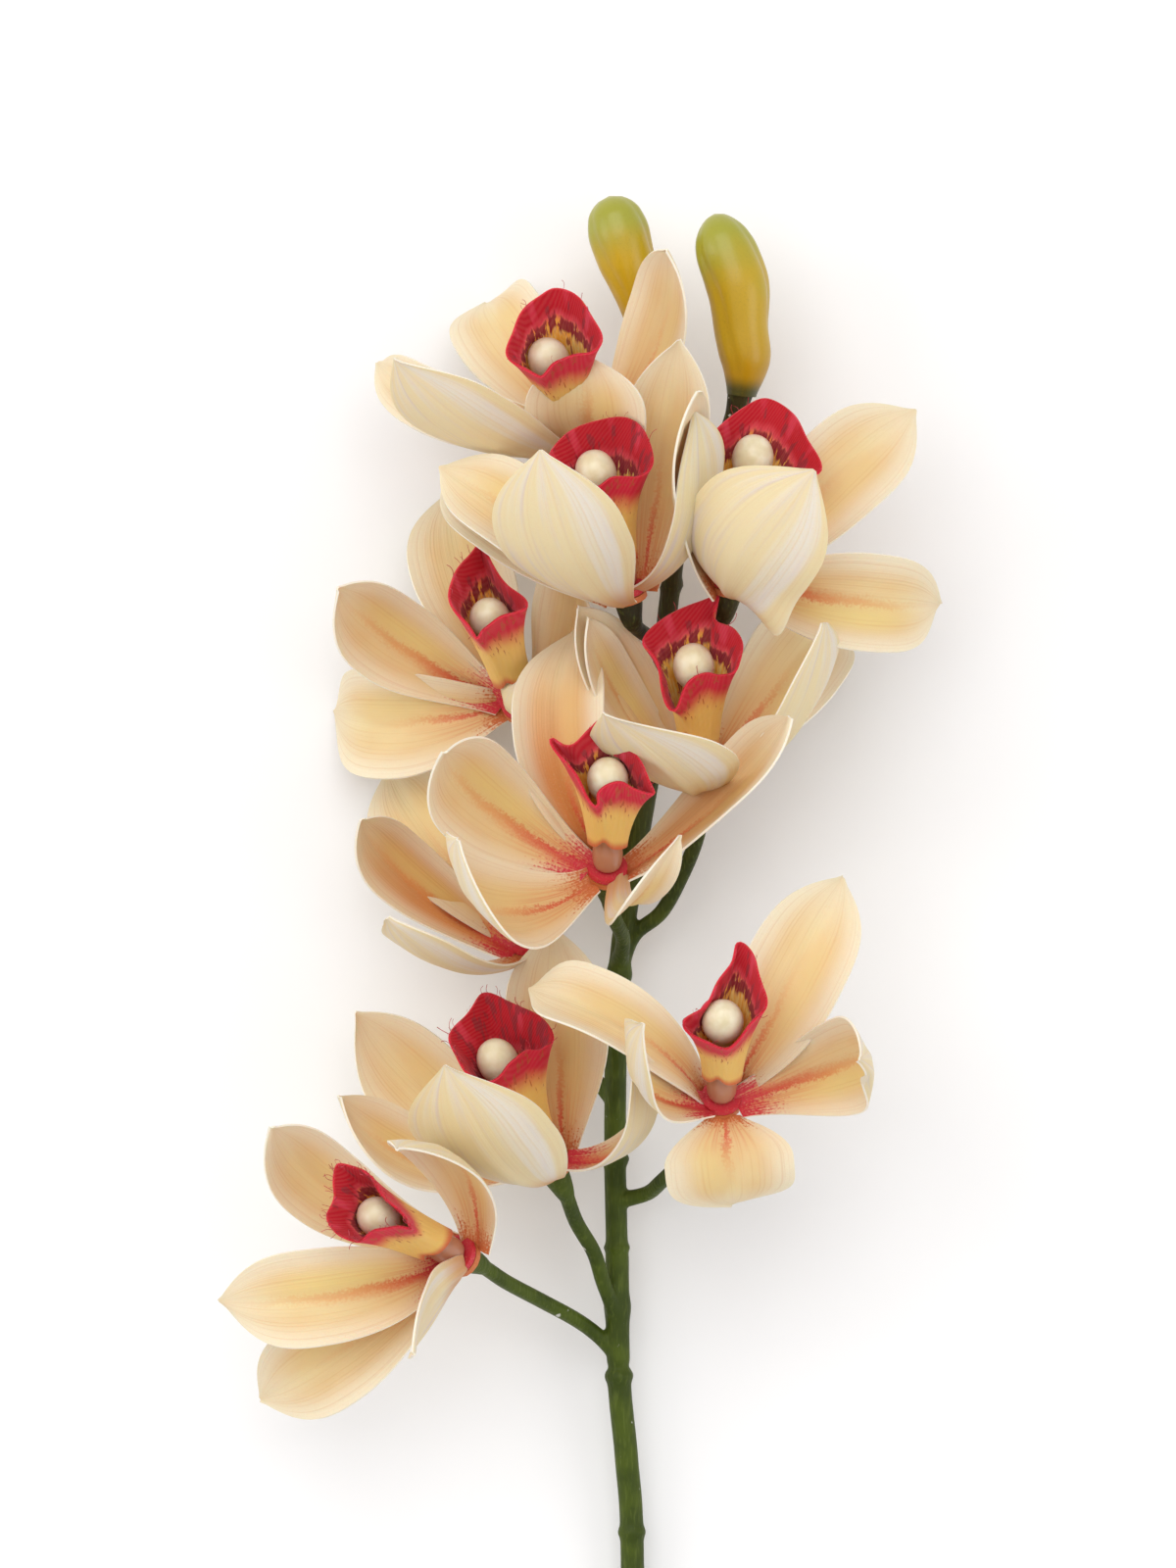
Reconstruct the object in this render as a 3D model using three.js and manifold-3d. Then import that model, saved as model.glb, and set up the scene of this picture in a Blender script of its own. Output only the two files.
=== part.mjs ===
// A cymbidium orchid spray, lying flat: a moulded stem with ten open flowers and two buds.
// Millimetres. +Y runs from the cut end to the buds, +Z is up, and the flowers look up.
// Every flower is three sepals and two petals formed from thin sheet, a rolled lip and a column.

import * as THREE from "three";
import { ParametricGeometry } from "three/addons/geometries/ParametricGeometry.js";
import { mergeVertices } from "three/addons/utils/BufferGeometryUtils.js";
import Module from "manifold-3d";

const wasm = await Module();
wasm.setup();

// ---- Driving dimensions ----

const SEPAL_LENGTH = 67;
const SEPAL_WIDTH = 27;
const PETAL_LENGTH = 66;
const PETAL_WIDTH = 26;
const BLADE_THICKNESS = 1.2; // at the midrib; a blade thins to nothing at its edges
const BLADE_BASE_WIDTH = 8;
const BLADE_WIDEST_AT = 0.55; // of the length
const CUP_ANGLE = 55; // how far a blade curls across its width, degrees

const HUB_RADIUS = 5.2; // where the blades of one ring join
const HUB_THICKNESS = 1.6;
const BLADE_START_RADIUS = 4.4;
const GAP = 0.35; // between pieces that touch
const ROOM = 0.55; // cut out of a piece round one that presses on it
const SEPAL_HUB_AT = 0; // along the flower's axis, from its base
const PETAL_HUB_AT = HUB_THICKNESS + GAP;

const COLUMN_START = PETAL_HUB_AT + HUB_THICKNESS / 2 + GAP;
const COLUMN_FOOT_RADIUS = 3;
const COLUMN_WAIST_RADIUS = 2.6;
const COLUMN_HEAD_RADIUS = 5.2;
const COLUMN_HEAD_LENGTH = 12;

const LIP_START = 7; // along the axis
const LIP_BASE_RADIUS = 4.6;
const LIP_MOUTH_RADIUS = 13;
const LIP_THICKNESS = 0.9;
const LIP_SEAM_ANGLE = 172; // the rolled sheet almost closes opposite the long lobe, degrees

const STEM_RADII = [3.1, 2.9, 2.6]; // of its three lengths, from the cut end up
const PEDICEL_RADIUS = 2;
const CALYX_RADIUS = 3.8;
const CALYX_LENGTH = 8;

// Where the middle of the spray's box and its lowest point lie in the working coordinates.
const MIDDLE_X = -1.9;
const MIDDLE_Y = 138.6;
const LOWEST_Z = 0.4;

// ---- Colours ----

const SEPAL_MATERIAL = new THREE.MeshStandardMaterial({ color: 0xe9c491, roughness: 0.6 });
const PETAL_MATERIAL = new THREE.MeshStandardMaterial({ color: 0xeccf9c, roughness: 0.6 });
const LIP_MATERIAL = new THREE.MeshStandardMaterial({ color: 0xc3172f, roughness: 0.8 });
const COLUMN_MATERIAL = new THREE.MeshStandardMaterial({ color: 0xe6dccb, roughness: 0.4 });
const STEM_MATERIAL = new THREE.MeshStandardMaterial({ color: 0x47592a, roughness: 0.5 });
const BUD_MATERIAL = new THREE.MeshStandardMaterial({ color: 0xb9a524, roughness: 0.45 });

// ---- The flowers ----
// base: where the five blades meet. column: its head, from the base. lip: the long lobe's tip.
// Each blade: its tip from the base, then the way that its inner face looks: up and turned about the
// blade's length by face degrees, or towards facing. Then bow, 1 when it curls inwards and -1
// outwards, sway, how far its middle is drawn sideways, and cup, where it curls less than most.

const FLOWERS = [
  {
    base: [0, 287, 40], column: [-10, 21, 25], lip: [-8, 38, 31],
    sepal_left: { tip: [-26, 38, -38], bow: -1, length: 63, sway: -1 },
    petal_left: { tip: [-54, 22, -18], bow: -1, width: 17, sway: -5 },
    dorsal: { tip: [-49, 21, 38], facing: [0.05, 0.9, -0.4], bow: 1, width: 30 },
    petal_right: { tip: [0, 22, 26], facing: [-0.2, -0.6, 0.7], bow: -1, length: 36, width: 33 },
    sepal_right: { tip: [20, 49, 28], facing: [-0.6, 0.1, 0.7], bow: 1, length: 63, width: 24, sway: -3 },
  },
  {
    base: [10, 248, 54], column: [-8, 31, 13], lip: [-8, 45, 13],
    sepal_left: { tip: [-47, 32, -20], bow: -1, length: 62, width: 23 },
    petal_left: { tip: [-48, 33, 0], face: 15, bow: -1, length: 59, width: 24, sway: -1 },
    dorsal: { tip: [-22, 36, 48], facing: [0.15, 0.75, -0.5], bow: 1, width: 37, sway: 2 },
    petal_right: { tip: [17, 46, 30], face: -110, bow: 1, length: 59 },
    sepal_right: { tip: [13, 65, 12], bow: 1, width: 24 },
  },
  {
    base: [36, 250, 50], column: [6, 33, 12], lip: [10, 48, 10],
    sepal_left: { tip: [-8, 49, 45], face: 65, bow: 1, length: 67.5 },
    petal_left: { tip: [4, 24, 30], facing: [0.9, 0.2, 0.3], bow: 1, length: 40, width: 14 },
    dorsal: { tip: [21, 29, 50], facing: [0.45, 0.5, -0.7], bow: 1, width: 38, sway: 3 },
    petal_right: { tip: [54, -4, -10], bow: -1, length: 60, sway: 2 },
    sepal_right: { tip: [48, 46, -6], bow: -1, sway: -3 },
  },
  {
    base: [-17, 220, 24], column: [-8, 22, 28], lip: [-10, 42, 25],
    sepal_left: { tip: [-18, 56, -23.3], bow: -1, length: 64, sway: -4 },
    petal_left: { tip: [-47, 30, 34], bow: 1, width: 24, sway: -3 },
    dorsal: { tip: [-49, -1, -22], bow: -1, length: 56, width: 30, sway: -4 },
    petal_right: { tip: [2, 7, 16], facing: [0.7, 0.6, 0.3], bow: 1, length: 22, width: 24 },
    sepal_right: { tip: [11, 38, 22], face: -50, bow: 1, length: 46 },
  },
  {
    base: [29, 201, 36], column: [-2, 29, 18], lip: [2, 46, 19],
    sepal_left: { tip: [-31.5, 44, 23], facing: [0.4, 0, 0.9], bow: 1, length: 58, width: 20.5, sway: 1 },
    petal_left: { tip: [-29, 41, 28], facing: [0.6, 0, 0.7], bow: 1, length: 57, width: 16, sway: 1 },
    dorsal: { tip: [-25, 17, 52], facing: [0.1, 1, -0.3], bow: 1, length: 60, width: 35, sway: -9 },
    petal_right: { tip: [31, 40, 35], facing: [-0.75, 0.5, -0.3], bow: 1, length: 62 },
    sepal_right: { tip: [32, 40, -35.5], bow: -1 },
  },
  {
    base: [5, 177, 49], column: [0, 24, 24], lip: [1, 37, 30],
    sepal_left: { tip: [-8, 63, -10], bow: -1, length: 66, width: 25, sway: -8 },
    petal_left: { tip: [-41, 31, 36], bow: 1, width: 28, sway: -4 },
    dorsal: { tip: [-38, 9, 47], face: 56, bow: 1, length: 68, width: 36, sway: -4 },
    petal_right: { tip: [18, 10, 34], facing: [0.2, -0.9, -0.3], bow: -1, length: 42, width: 15, sway: -11 },
    sepal_right: { tip: [46, 40, 30], face: -57, bow: 1, width: 26, sway: -4 },
  },
  {
    base: [-14, 158, 26], column: [-14, 27, 15], lip: [-17, 42, 16],
    sepal_left: { tip: [-38, 46, -25], bow: -1, sway: -2 },
    petal_left: { tip: [-44, 33, 30], face: 20, bow: 1, width: 20 },
    dorsal: { tip: [-37, 8, 50], facing: [0.1, 0.98, -0.05], bow: 1, length: 62.4, width: 22 },
    petal_right: { tip: [4, 42, 8], face: -30, bow: 1, length: 46 },
    sepal_right: { tip: [-1, 42, -22], bow: -1, length: 48 },
  },
  {
    base: [-9, 101, 38], column: [-14, 28, 14], lip: [-19, 45, 11],
    sepal_left: { tip: [-51, 40, -8], bow: 1, sway: -4 },
    petal_left: { tip: [-55, 19, 10], face: 50, bow: 1, length: 61 },
    dorsal: { tip: [-27, 28, 50], facing: [0.05, 0.8, -0.4], bow: 1, width: 39 },
    petal_right: { tip: [19, 36, 32], facing: [-0.85, 0.4, -0.1], bow: 1, length: 60, width: 28 },
    sepal_right: { tip: [0, 62, -4], bow: -1, length: 60.5 },
  },
  {
    base: [34, 119, 64], column: [0, 21, 27], lip: [3, 40, 29],
    sepal_left: { tip: [-49, 29, 7], face: 45, bow: -1, length: 59, width: 25, sway: -4 },
    petal_left: { tip: [-20, 21, 54], face: 74, bow: 1, length: 63, width: 21 },
    dorsal: { tip: [3, -26, -5], bow: -1, length: 29, width: 33, cup: 8 },
    petal_right: { tip: [34, 12, 46], bow: 1, sway: 1 },
    sepal_right: { tip: [31, 57, 2], bow: -1 },
  },
  {
    base: [-32, 79, 52], column: [-21, 11, 25], lip: [-31, 24, 31],
    sepal_left: { tip: [-48, 34, 25], facing: [0.4, -0.5, 0.75], bow: 1, width: 23, sway: -8 },
    petal_left: { tip: [-62, -11, 8], bow: -1, sway: -3 },
    dorsal: { tip: [-52, -37, -14], face: 5, bow: -1, sway: -2 },
    petal_right: {
      tip: [-11.5, -22, 58], facing: [-0.85, 0.2, -0.3], bow: -1, length: 59, width: 16, cup: 20,
    },
    sepal_right: { tip: [-16, 29, 52], face: -60, bow: 1, length: 65.5 },
  },
];

// Where the flowers crowd, these pieces are cut back to clear a piece of another flower.
const GIVES_WAY = {
  sepals_1: ["sepals_2", "petals_2"],
  petals_1: ["sepals_2", "lip_2"],
  petals_2: ["sepals_3", "petals_3", "lip_3"],
  sepals_4: ["sepals_2", "sepals_6"],
  petals_4: ["sepals_6"],
  sepals_5: ["sepals_6", "lip_6"],
  petals_5: ["sepals_6"],
  petals_6: ["lip_7"],
  petals_9: ["sepals_9"],
  sepals_7: ["sepals_8"],
};

// ---- The stem ----
// Three lengths of stem, each a run of points. A pedicel starts inside the stem, and ends where
// its calyx does, behind the flower. The bud stalks are rods as well.

const STEM_LOWER = [[11.5, -75, 3.5], [11.5, 0, 8], [10, 25, 10], [8, 47, 12], [7.5, 80, 15]];
const STEM_MIDDLE = [[7.5, 80.6, 15], [7, 110, 17], [8, 150, 20], [12, 180, 22], [18, 215, 25]];
const STEM_UPPER = [[18.2, 215.6, 25], [20.5, 244, 27], [25, 270, 30], [36, 290, 34], [40, 299, 36]];

const PEDICELS = [
  [[22, 256, 28], [16, 266, 28], [9, 275, 28]],
  [[19, 222, 26], [20, 229, 30], [17.5, 236, 38]],
  [[18, 212, 25], [26, 221, 28], [32, 233, 37]],
  [[11, 178, 22], [4, 190, 20], [-4, 200, 15], [-11, 208, 14]],
  [[8, 152, 20], [12, 161, 21], [19, 167, 24], [24.5, 177, 27], [28, 186, 31]],
  [[8, 153, 20], [9, 160, 29], [7, 165, 38]],
  [[7, 118, 17], [-4, 130, 12], [-11, 139, 12], [-12, 145, 17]],
  [[7.5, 62, 14], [4, 71, 20], [1.5, 79, 23], [-3, 87, 28]],
  [[7, 92, 16], [15, 94, 19], [19, 97.5, 27], [26, 105, 42]],
  [[8, 52, 12], [1.5, 58, 14], [-4, 62, 19], [-12.5, 67, 28], [-21, 72, 38]],
];

const BUD_STALK = [[24, 266, 29], [18, 288, 28], [13, 306, 28], [12.3, 316, 28]];

// A bud's centre line from its neck to its top, and its radius at each point.
const BUDS = [
  { line: [[12.2, 316.4, 28], [11, 329, 29], [8, 340, 30], [5.8, 350, 30]], radii: [3.2, 6.6, 8.2, 5] },
  { line: [[40.1, 299.4, 36], [40, 310, 37], [39, 325, 39], [35, 339, 39], [33.5, 345, 38]],
    radii: [3.2, 6.8, 8.2, 8.2, 5] },
];

// ---- Geometry ----

const vector = (p) => new THREE.Vector3(...p);

// A closed solid from any indexed or plain geometry whose seams coincide.
function solid(geometry) {
  geometry.deleteAttribute("normal");
  geometry.deleteAttribute("uv");
  const welded = mergeVertices(geometry, 1e-4);
  const corners = [];
  for (let i = 0; i < welded.index.count; i += 3) {
    const [a, b, c] = [0, 1, 2].map((k) => welded.index.getX(i + k));
    if (a !== b && b !== c && c !== a) corners.push(a, b, c);
  }
  const made = new wasm.Manifold(
    new wasm.Mesh({
      numProp: 3,
      vertProperties: welded.attributes.position.array,
      triVerts: new Uint32Array(corners),
    }),
  );
  return made;
}

function meshOf(name, made, material) {
  const { vertProperties, triVerts } = made.getMesh();
  const geometry = new THREE.BufferGeometry();
  geometry.setAttribute("position", new THREE.BufferAttribute(vertProperties, 3));
  geometry.setIndex(new THREE.BufferAttribute(triVerts, 1));
  geometry.computeVertexNormals();
  const mesh = new THREE.Mesh(geometry, material);
  mesh.name = name;
  return mesh;
}

// The half width of a blade, as a share of its widest, at t along its length.
function outline(t, width) {
  const base = BLADE_BASE_WIDTH / width;
  if (t < BLADE_WIDEST_AT) {
    return base + (1 - base) * Math.sin((Math.PI / 2) * (t / BLADE_WIDEST_AT)) ** 1.3;
  }
  const past = (t - BLADE_WIDEST_AT) / (1 - BLADE_WIDEST_AT);
  return Math.cos((Math.PI / 2) * past ** 1.6);
}

// The whole turn of an arc of unit length whose ends are chord apart.
function turnForChord(chord) {
  let low = 0.05;
  let high = 2 * Math.PI - 0.3;
  for (let i = 0; i < 40; i++) {
    const middle = (low + high) / 2;
    if (Math.sin(middle / 2) / (middle / 2) > chord) low = middle;
    else high = middle;
  }
  return low;
}

// A blade bends along one circular arc from start to tip, and curls across its width.
// grow makes it that much larger all over, to cut its clearance out of a neighbour.
function blade(start, tip, place, length, width, grow) {
  const { face = 0, facing = [0, 0, 1], bow, sway = 0, cup: curled = CUP_ANGLE } = place;
  const chord = tip.clone().sub(start);
  const along = chord.clone().normalize();
  const inner = vector(facing);
  inner.addScaledVector(along, -inner.dot(along)).normalize();
  inner.applyAxisAngle(along, THREE.MathUtils.degToRad(face));
  const sideways = along.clone().cross(inner);
  const turn = turnForChord(Math.min(chord.length() / length, 0.998));
  const radius = chord.length() / (2 * Math.sin(turn / 2));
  const cup = THREE.MathUtils.degToRad(curled);

  const surface = (u, v, target) => {
    const angle = turn * (v - 0.5);
    const side = u < 0.5 ? 4 * u - 1 : 3 - 4 * u;
    const front = u < 0.5 ? 1 : -1;
    const tangent = along.clone().multiplyScalar(Math.cos(angle));
    tangent.addScaledVector(inner, bow * Math.sin(angle));
    const normal = inner.clone().multiplyScalar(Math.cos(angle));
    normal.addScaledVector(along, -bow * Math.sin(angle));
    const across = tangent.clone().cross(normal);
    const half = (width / 2) * outline(v, width) + grow;
    const curl = (side * half * cup) / width;
    const curlRadius = width / cup;
    const thick = (BLADE_THICKNESS / 2 + grow) * (1 - side * side) * Math.min(1, v * 8);
    target.copy(start);
    target.addScaledVector(along, radius * (Math.sin(angle) + Math.sin(turn / 2)));
    target.addScaledVector(inner, bow * radius * (Math.cos(turn / 2) - Math.cos(angle)));
    target.addScaledVector(sideways, sway * 4 * v * (1 - v));
    target.addScaledVector(across, curlRadius * Math.sin(curl));
    target.addScaledVector(normal, curlRadius * (1 - Math.cos(curl)));
    target.addScaledVector(normal, front * thick * Math.cos(curl));
    target.addScaledVector(across, -front * thick * Math.sin(curl));
  };
  const made = new ParametricGeometry(surface, 8, 6);
  if (grow) closeTip(made.attributes.position);
  return solid(made);
}

// Draws the last row of points together.
function closeTip(points) {
  const across = 9;
  const first = points.count - across;
  const end = [points.getX(first + 2), points.getY(first + 2), points.getZ(first + 2)];
  for (let i = first; i < points.count; i++) points.setXYZ(i, ...end);
}

// The flower's own frame: its axis, the direction of its lip and the third one.
function frameOf(flower) {
  const axis = vector(flower.column).normalize();
  const lip = vector(flower.lip);
  const lipSide = lip.addScaledVector(axis, -lip.dot(axis)).normalize();
  return { axis, lipSide, cross: axis.clone().cross(lipSide) };
}

// A round piece turned about the flower's axis: its profile is [radius, distance] pairs.
function turned(flower, profile, segments) {
  const { axis, lipSide, cross } = frameOf(flower);
  const points = profile.map(([r, h]) => new THREE.Vector2(r, h));
  const geometry = new THREE.LatheGeometry(points, segments);
  const basis = new THREE.Matrix4().makeBasis(cross, axis, lipSide);
  basis.setPosition(vector(flower.base));
  return solid(geometry.applyMatrix4(basis));
}

// One ring of blades joined by its hub.
function ring(flower, names, hubAt, length, width, grow = 0) {
  const { axis } = frameOf(flower);
  const low = hubAt - HUB_THICKNESS / 2 - grow;
  const high = hubAt + HUB_THICKNESS / 2 + grow;
  const rim = HUB_RADIUS + grow;
  let whole = turned(flower, [[0, low], [rim, low], [rim, high], [0, high]], 8);
  for (const name of names) {
    const place = flower[name];
    const tip = vector(place.tip);
    const outwards = tip.clone().addScaledVector(axis, -tip.dot(axis)).normalize();
    const start = vector(flower.base).addScaledVector(axis, hubAt);
    start.addScaledVector(outwards, BLADE_START_RADIUS);
    tip.add(vector(flower.base));
    whole = whole.add(blade(start, tip, place, place.length ?? length, place.width ?? width, grow));
  }
  return whole;
}

const SEPALS = ["sepal_left", "dorsal", "sepal_right"];
const PETALS = ["petal_left", "petal_right"];
const sepalsOf = (flower, grow) => {
  return ring(flower, SEPALS, SEPAL_HUB_AT, SEPAL_LENGTH, SEPAL_WIDTH, grow);
};
const petalsOf = (flower, grow) => {
  return ring(flower, PETALS, PETAL_HUB_AT, PETAL_LENGTH, PETAL_WIDTH, grow);
};

// The column: a waisted foot and a rounded head.
function columnOf(flower, grow = 0) {
  const reach = vector(flower.column).length();
  const half = COLUMN_HEAD_LENGTH / 2 + grow;
  const profile = [
    [0, COLUMN_START - grow],
    [COLUMN_FOOT_RADIUS + grow, COLUMN_START - grow],
    [COLUMN_WAIST_RADIUS + grow, reach - half],
  ];
  for (const degrees of [-40, 0, 35, 65]) {
    const a = THREE.MathUtils.degToRad(degrees);
    profile.push([(COLUMN_HEAD_RADIUS + grow) * Math.cos(a), reach + half * Math.sin(a)]);
  }
  profile.push([0, reach + half]);
  return turned(flower, profile, 8);
}

// How far the lip's rim stands, as a share of its height, at even steps round from the long lobe.
const RIM_HEIGHTS = [1, 1, 0.92, 0.62, 0.5];
const RIM = new THREE.SplineCurve(RIM_HEIGHTS.map((h, i) => new THREE.Vector2(i, h)));

// The lip is a sheet rolled into a funnel, long on one side.
function lipOf(flower, grow = 0) {
  const { axis, lipSide, cross } = frameOf(flower);
  const tip = vector(flower.lip);
  const height = tip.dot(axis) - LIP_START;
  const lean = tip.dot(lipSide) - LIP_MOUTH_RADIUS;
  const surface = (u, v, target) => {
    const side = u < 0.5 ? 4 * u - 1 : 3 - 4 * u;
    const outside = u < 0.5 ? 1 : -1;
    const angle = THREE.MathUtils.degToRad(side * LIP_SEAM_ANGLE);
    const up = v * RIM.getPoint(Math.abs(side)).y;
    const thin = Math.min(1, 4 * (1 - side * side)) * Math.sqrt(Math.max(0, Math.sin(Math.PI * v)));
    const thick = (LIP_THICKNESS / 2 + grow) * thin;
    const flare = (LIP_MOUTH_RADIUS - LIP_BASE_RADIUS) * up;
    const radius = LIP_BASE_RADIUS + flare + outside * thick;
    target.copy(vector(flower.base));
    target.addScaledVector(axis, LIP_START + height * up);
    target.addScaledVector(lipSide, lean * up * up + radius * Math.cos(angle));
    target.addScaledVector(cross, radius * Math.sin(angle));
  };
  return solid(new ParametricGeometry(surface, 16, 5));
}

// A round rod along a smooth path.
function rod(points, radius, steps) {
  const path = new THREE.CatmullRomCurve3(points.map(vector), false, "centripetal");
  const section = new THREE.Shape();
  for (let i = 0; i < 8; i++) {
    const a = (i / 8) * 2 * Math.PI;
    if (i === 0) section.moveTo(radius, 0);
    else section.lineTo(radius * Math.cos(a), radius * Math.sin(a));
  }
  section.closePath();
  return solid(new THREE.ExtrudeGeometry(section, { steps, extrudePath: path, curveSegments: 1 }));
}

// A pedicel: a thin rod from the stem that widens into the calyx behind its flower.
function pedicelOf(flower, points) {
  const { axis } = frameOf(flower);
  const top = SEPAL_HUB_AT - HUB_THICKNESS / 2 - GAP;
  const root = top - CALYX_LENGTH;
  const end = vector(flower.base).addScaledVector(axis, root + 1);
  const profile = [
    [0, root], [PEDICEL_RADIUS, root], [CALYX_RADIUS, top - 2], [CALYX_RADIUS, top], [0, top],
  ];
  return rod([...points, end.toArray()], PEDICEL_RADIUS, 8).add(turned(flower, profile, 8));
}

// A bud swells along its centre line.
function budOf({ line, radii }) {
  const path = new THREE.CatmullRomCurve3(line.map(vector), false, "centripetal");
  const size = new THREE.SplineCurve(radii.map((r, i) => new THREE.Vector2(i, r)));
  const sideways = new THREE.Vector3(1, 0, 0);
  const surface = (u, v, target) => {
    const along = Math.max(0, Math.min(1, (v - 0.04) / 0.92));
    const tangent = path.getTangent(along);
    const up = tangent.clone().cross(sideways).normalize();
    const flat = up.clone().cross(tangent);
    const radius = v === 0 || v === 1 ? 0 : size.getPoint(along).y;
    const angle = 2 * Math.PI * u;
    target.copy(path.getPoint(along));
    if (v === 1) target.addScaledVector(tangent, radii.at(-1) * 0.5);
    target.addScaledVector(flat, radius * Math.cos(angle));
    target.addScaledVector(up, radius * Math.sin(angle));
  };
  return solid(new ParametricGeometry(surface, 10, 11));
}

// Cuts clearances, and leaves out slivers that the cuts part from the piece.
function cutBack(made, cutters) {
  let left = made;
  for (const cutter of cutters) {
    if (left.intersect(cutter).volume() > 0) left = left.subtract(cutter);
  }
  return left.simplify(0.02).decompose().sort((a, b) => b.volume() - a.volume())[0];
}

// The grown pieces that one piece gives way to.
function pressing(name) {
  const makers = { sepals: sepalsOf, petals: petalsOf, lip: lipOf };
  return (GIVES_WAY[name] ?? []).map((other) => {
    const [kind, number] = other.split("_");
    return makers[kind](FLOWERS[number - 1], ROOM);
  });
}

// ---- Assembly ----

const orchid = new THREE.Group();
orchid.position.set(-MIDDLE_X, -MIDDLE_Y, -LOWEST_Z);

FLOWERS.forEach((flower, i) => {
  const number = i + 1;
  const centre = [columnOf(flower, GAP), lipOf(flower, GAP)];
  const petals = cutBack(petalsOf(flower, 0), [...centre, ...pressing(`petals_${number}`)]);
  const around = [...centre, petalsOf(flower, ROOM), ...pressing(`sepals_${number}`)];
  const sepals = cutBack(sepalsOf(flower, 0), around);
  orchid.add(meshOf(`sepals_${number}`, sepals, SEPAL_MATERIAL));
  orchid.add(meshOf(`petals_${number}`, petals, PETAL_MATERIAL));
  orchid.add(meshOf(`lip_${number}`, lipOf(flower), LIP_MATERIAL));
  orchid.add(meshOf(`column_${number}`, columnOf(flower), COLUMN_MATERIAL));
});

const stems = [STEM_LOWER, STEM_MIDDLE, STEM_UPPER];
const lengths = ["lower", "middle", "upper"];
stems.forEach((points, i) => {
  orchid.add(meshOf(`stem_${lengths[i]}`, rod(points, STEM_RADII[i], 12), STEM_MATERIAL));
});
const stemRoom = stems.map((points, i) => rod(points, STEM_RADII[i] + GAP, 12));
FLOWERS.forEach((flower, i) => {
  const room = [...stemRoom, sepalsOf(flower, 2 * GAP)];
  const pedicel = cutBack(pedicelOf(flower, PEDICELS[i]), room);
  orchid.add(meshOf(`pedicel_${i + 1}`, pedicel, STEM_MATERIAL));
});
orchid.add(meshOf("bud_stalk", cutBack(rod(BUD_STALK, PEDICEL_RADIUS, 10), stemRoom), STEM_MATERIAL));
BUDS.forEach((bud, i) => orchid.add(meshOf(`bud_${i + 1}`, budOf(bud), BUD_MATERIAL)));

export default orchid;
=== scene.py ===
"""A cymbidium orchid spray lying on a pale table: stem, ten formed flowers and two buds."""

import math

import bpy
import numpy as np
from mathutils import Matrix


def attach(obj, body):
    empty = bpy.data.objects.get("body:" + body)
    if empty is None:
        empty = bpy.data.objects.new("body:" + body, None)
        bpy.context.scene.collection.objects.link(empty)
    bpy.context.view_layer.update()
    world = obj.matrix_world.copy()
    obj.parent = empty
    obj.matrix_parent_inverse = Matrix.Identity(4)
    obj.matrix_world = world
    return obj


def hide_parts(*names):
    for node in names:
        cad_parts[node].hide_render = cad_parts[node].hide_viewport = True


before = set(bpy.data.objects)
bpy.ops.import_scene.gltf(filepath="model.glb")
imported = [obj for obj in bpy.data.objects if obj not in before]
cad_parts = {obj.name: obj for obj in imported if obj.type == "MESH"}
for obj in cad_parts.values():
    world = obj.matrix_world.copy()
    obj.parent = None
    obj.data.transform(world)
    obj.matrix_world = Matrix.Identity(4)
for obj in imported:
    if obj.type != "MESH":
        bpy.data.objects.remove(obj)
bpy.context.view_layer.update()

# ---- Camera, table and light ----
# A matt white table top in a bright white room, under three softboxes, seen from straight above.
# The object's places are millimetres in a working drawing, which placed() puts in the part's frame.

MM = 0.001
DRAWING_TO_PART = np.array([1.9, -138.6, -0.4])  # mm: puts the part's origin under its middle
VIEW_CENTRE = (0, 200)  # mm in the drawing, under the middle of the picture
CAMERA_HEIGHT = 3000  # mm above the drawing's table
FOCUS_HEIGHT = 60  # mm: the level where the picture is exactly as tall as below
VIEW_TALL = 400  # mm
SENSOR = 36  # mm, along the picture's long side
TABLE_SIZE = 8.0  # m


def placed(points):
    """Points of the working drawing, mm, as metres in the part's frame."""
    return (np.asarray(points, float) + DRAWING_TO_PART) * MM


def linear(colour):
    """An sRGB hex colour as linear RGBA."""
    channels = [int(colour[i:i + 2], 16) / 255 for i in (1, 3, 5)]
    return [c / 12.92 if c <= 0.04045 else ((c + 0.055) / 1.055) ** 2.4 for c in channels] + [1.0]


def fill(tree, node, inputs):
    """Links a node's inputs to sockets or sets them to values."""
    for name, value in dict(inputs).items():
        if isinstance(value, bpy.types.NodeSocket):
            tree.links.new(value, node.inputs[name])
        else:
            node.inputs[name].default_value = value


def add(tree, kind, inputs=(), **settings):
    """Adds a node with its settings, and fills its inputs."""
    made = tree.nodes.new(kind)
    for name, value in settings.items():
        setattr(made, name, value)
    fill(tree, made, inputs)
    return made


def new_material(name):
    """A bare material's tree and its Principled shader."""
    made = bpy.data.materials.new(name)
    made.use_nodes = True
    return made, made.node_tree, made.node_tree.nodes["Principled BSDF"]


def mesh_object(name, points, faces, material, smooth_below=50):
    """A smooth-shaded mesh of drawing points, with its corners sharper than the angle kept."""
    mesh = bpy.data.meshes.new(name)
    mesh.from_pydata(placed(points).tolist(), [], [list(map(int, f)) for f in faces])
    mesh.shade_smooth()
    mesh.set_sharp_from_angle(angle=math.radians(smooth_below))
    mesh.materials.append(material)
    made = bpy.data.objects.new(name, mesh)
    bpy.context.scene.collection.objects.link(made)
    return made


camera_data = bpy.data.cameras.new("camera")
camera_data.sensor_width = SENSOR
camera_data.lens = SENSOR * (CAMERA_HEIGHT - FOCUS_HEIGHT) / VIEW_TALL
camera = bpy.data.objects.new("camera", camera_data)
camera.location = placed((*VIEW_CENTRE, CAMERA_HEIGHT))
bpy.context.scene.collection.objects.link(camera)
bpy.context.scene.camera = camera

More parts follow.
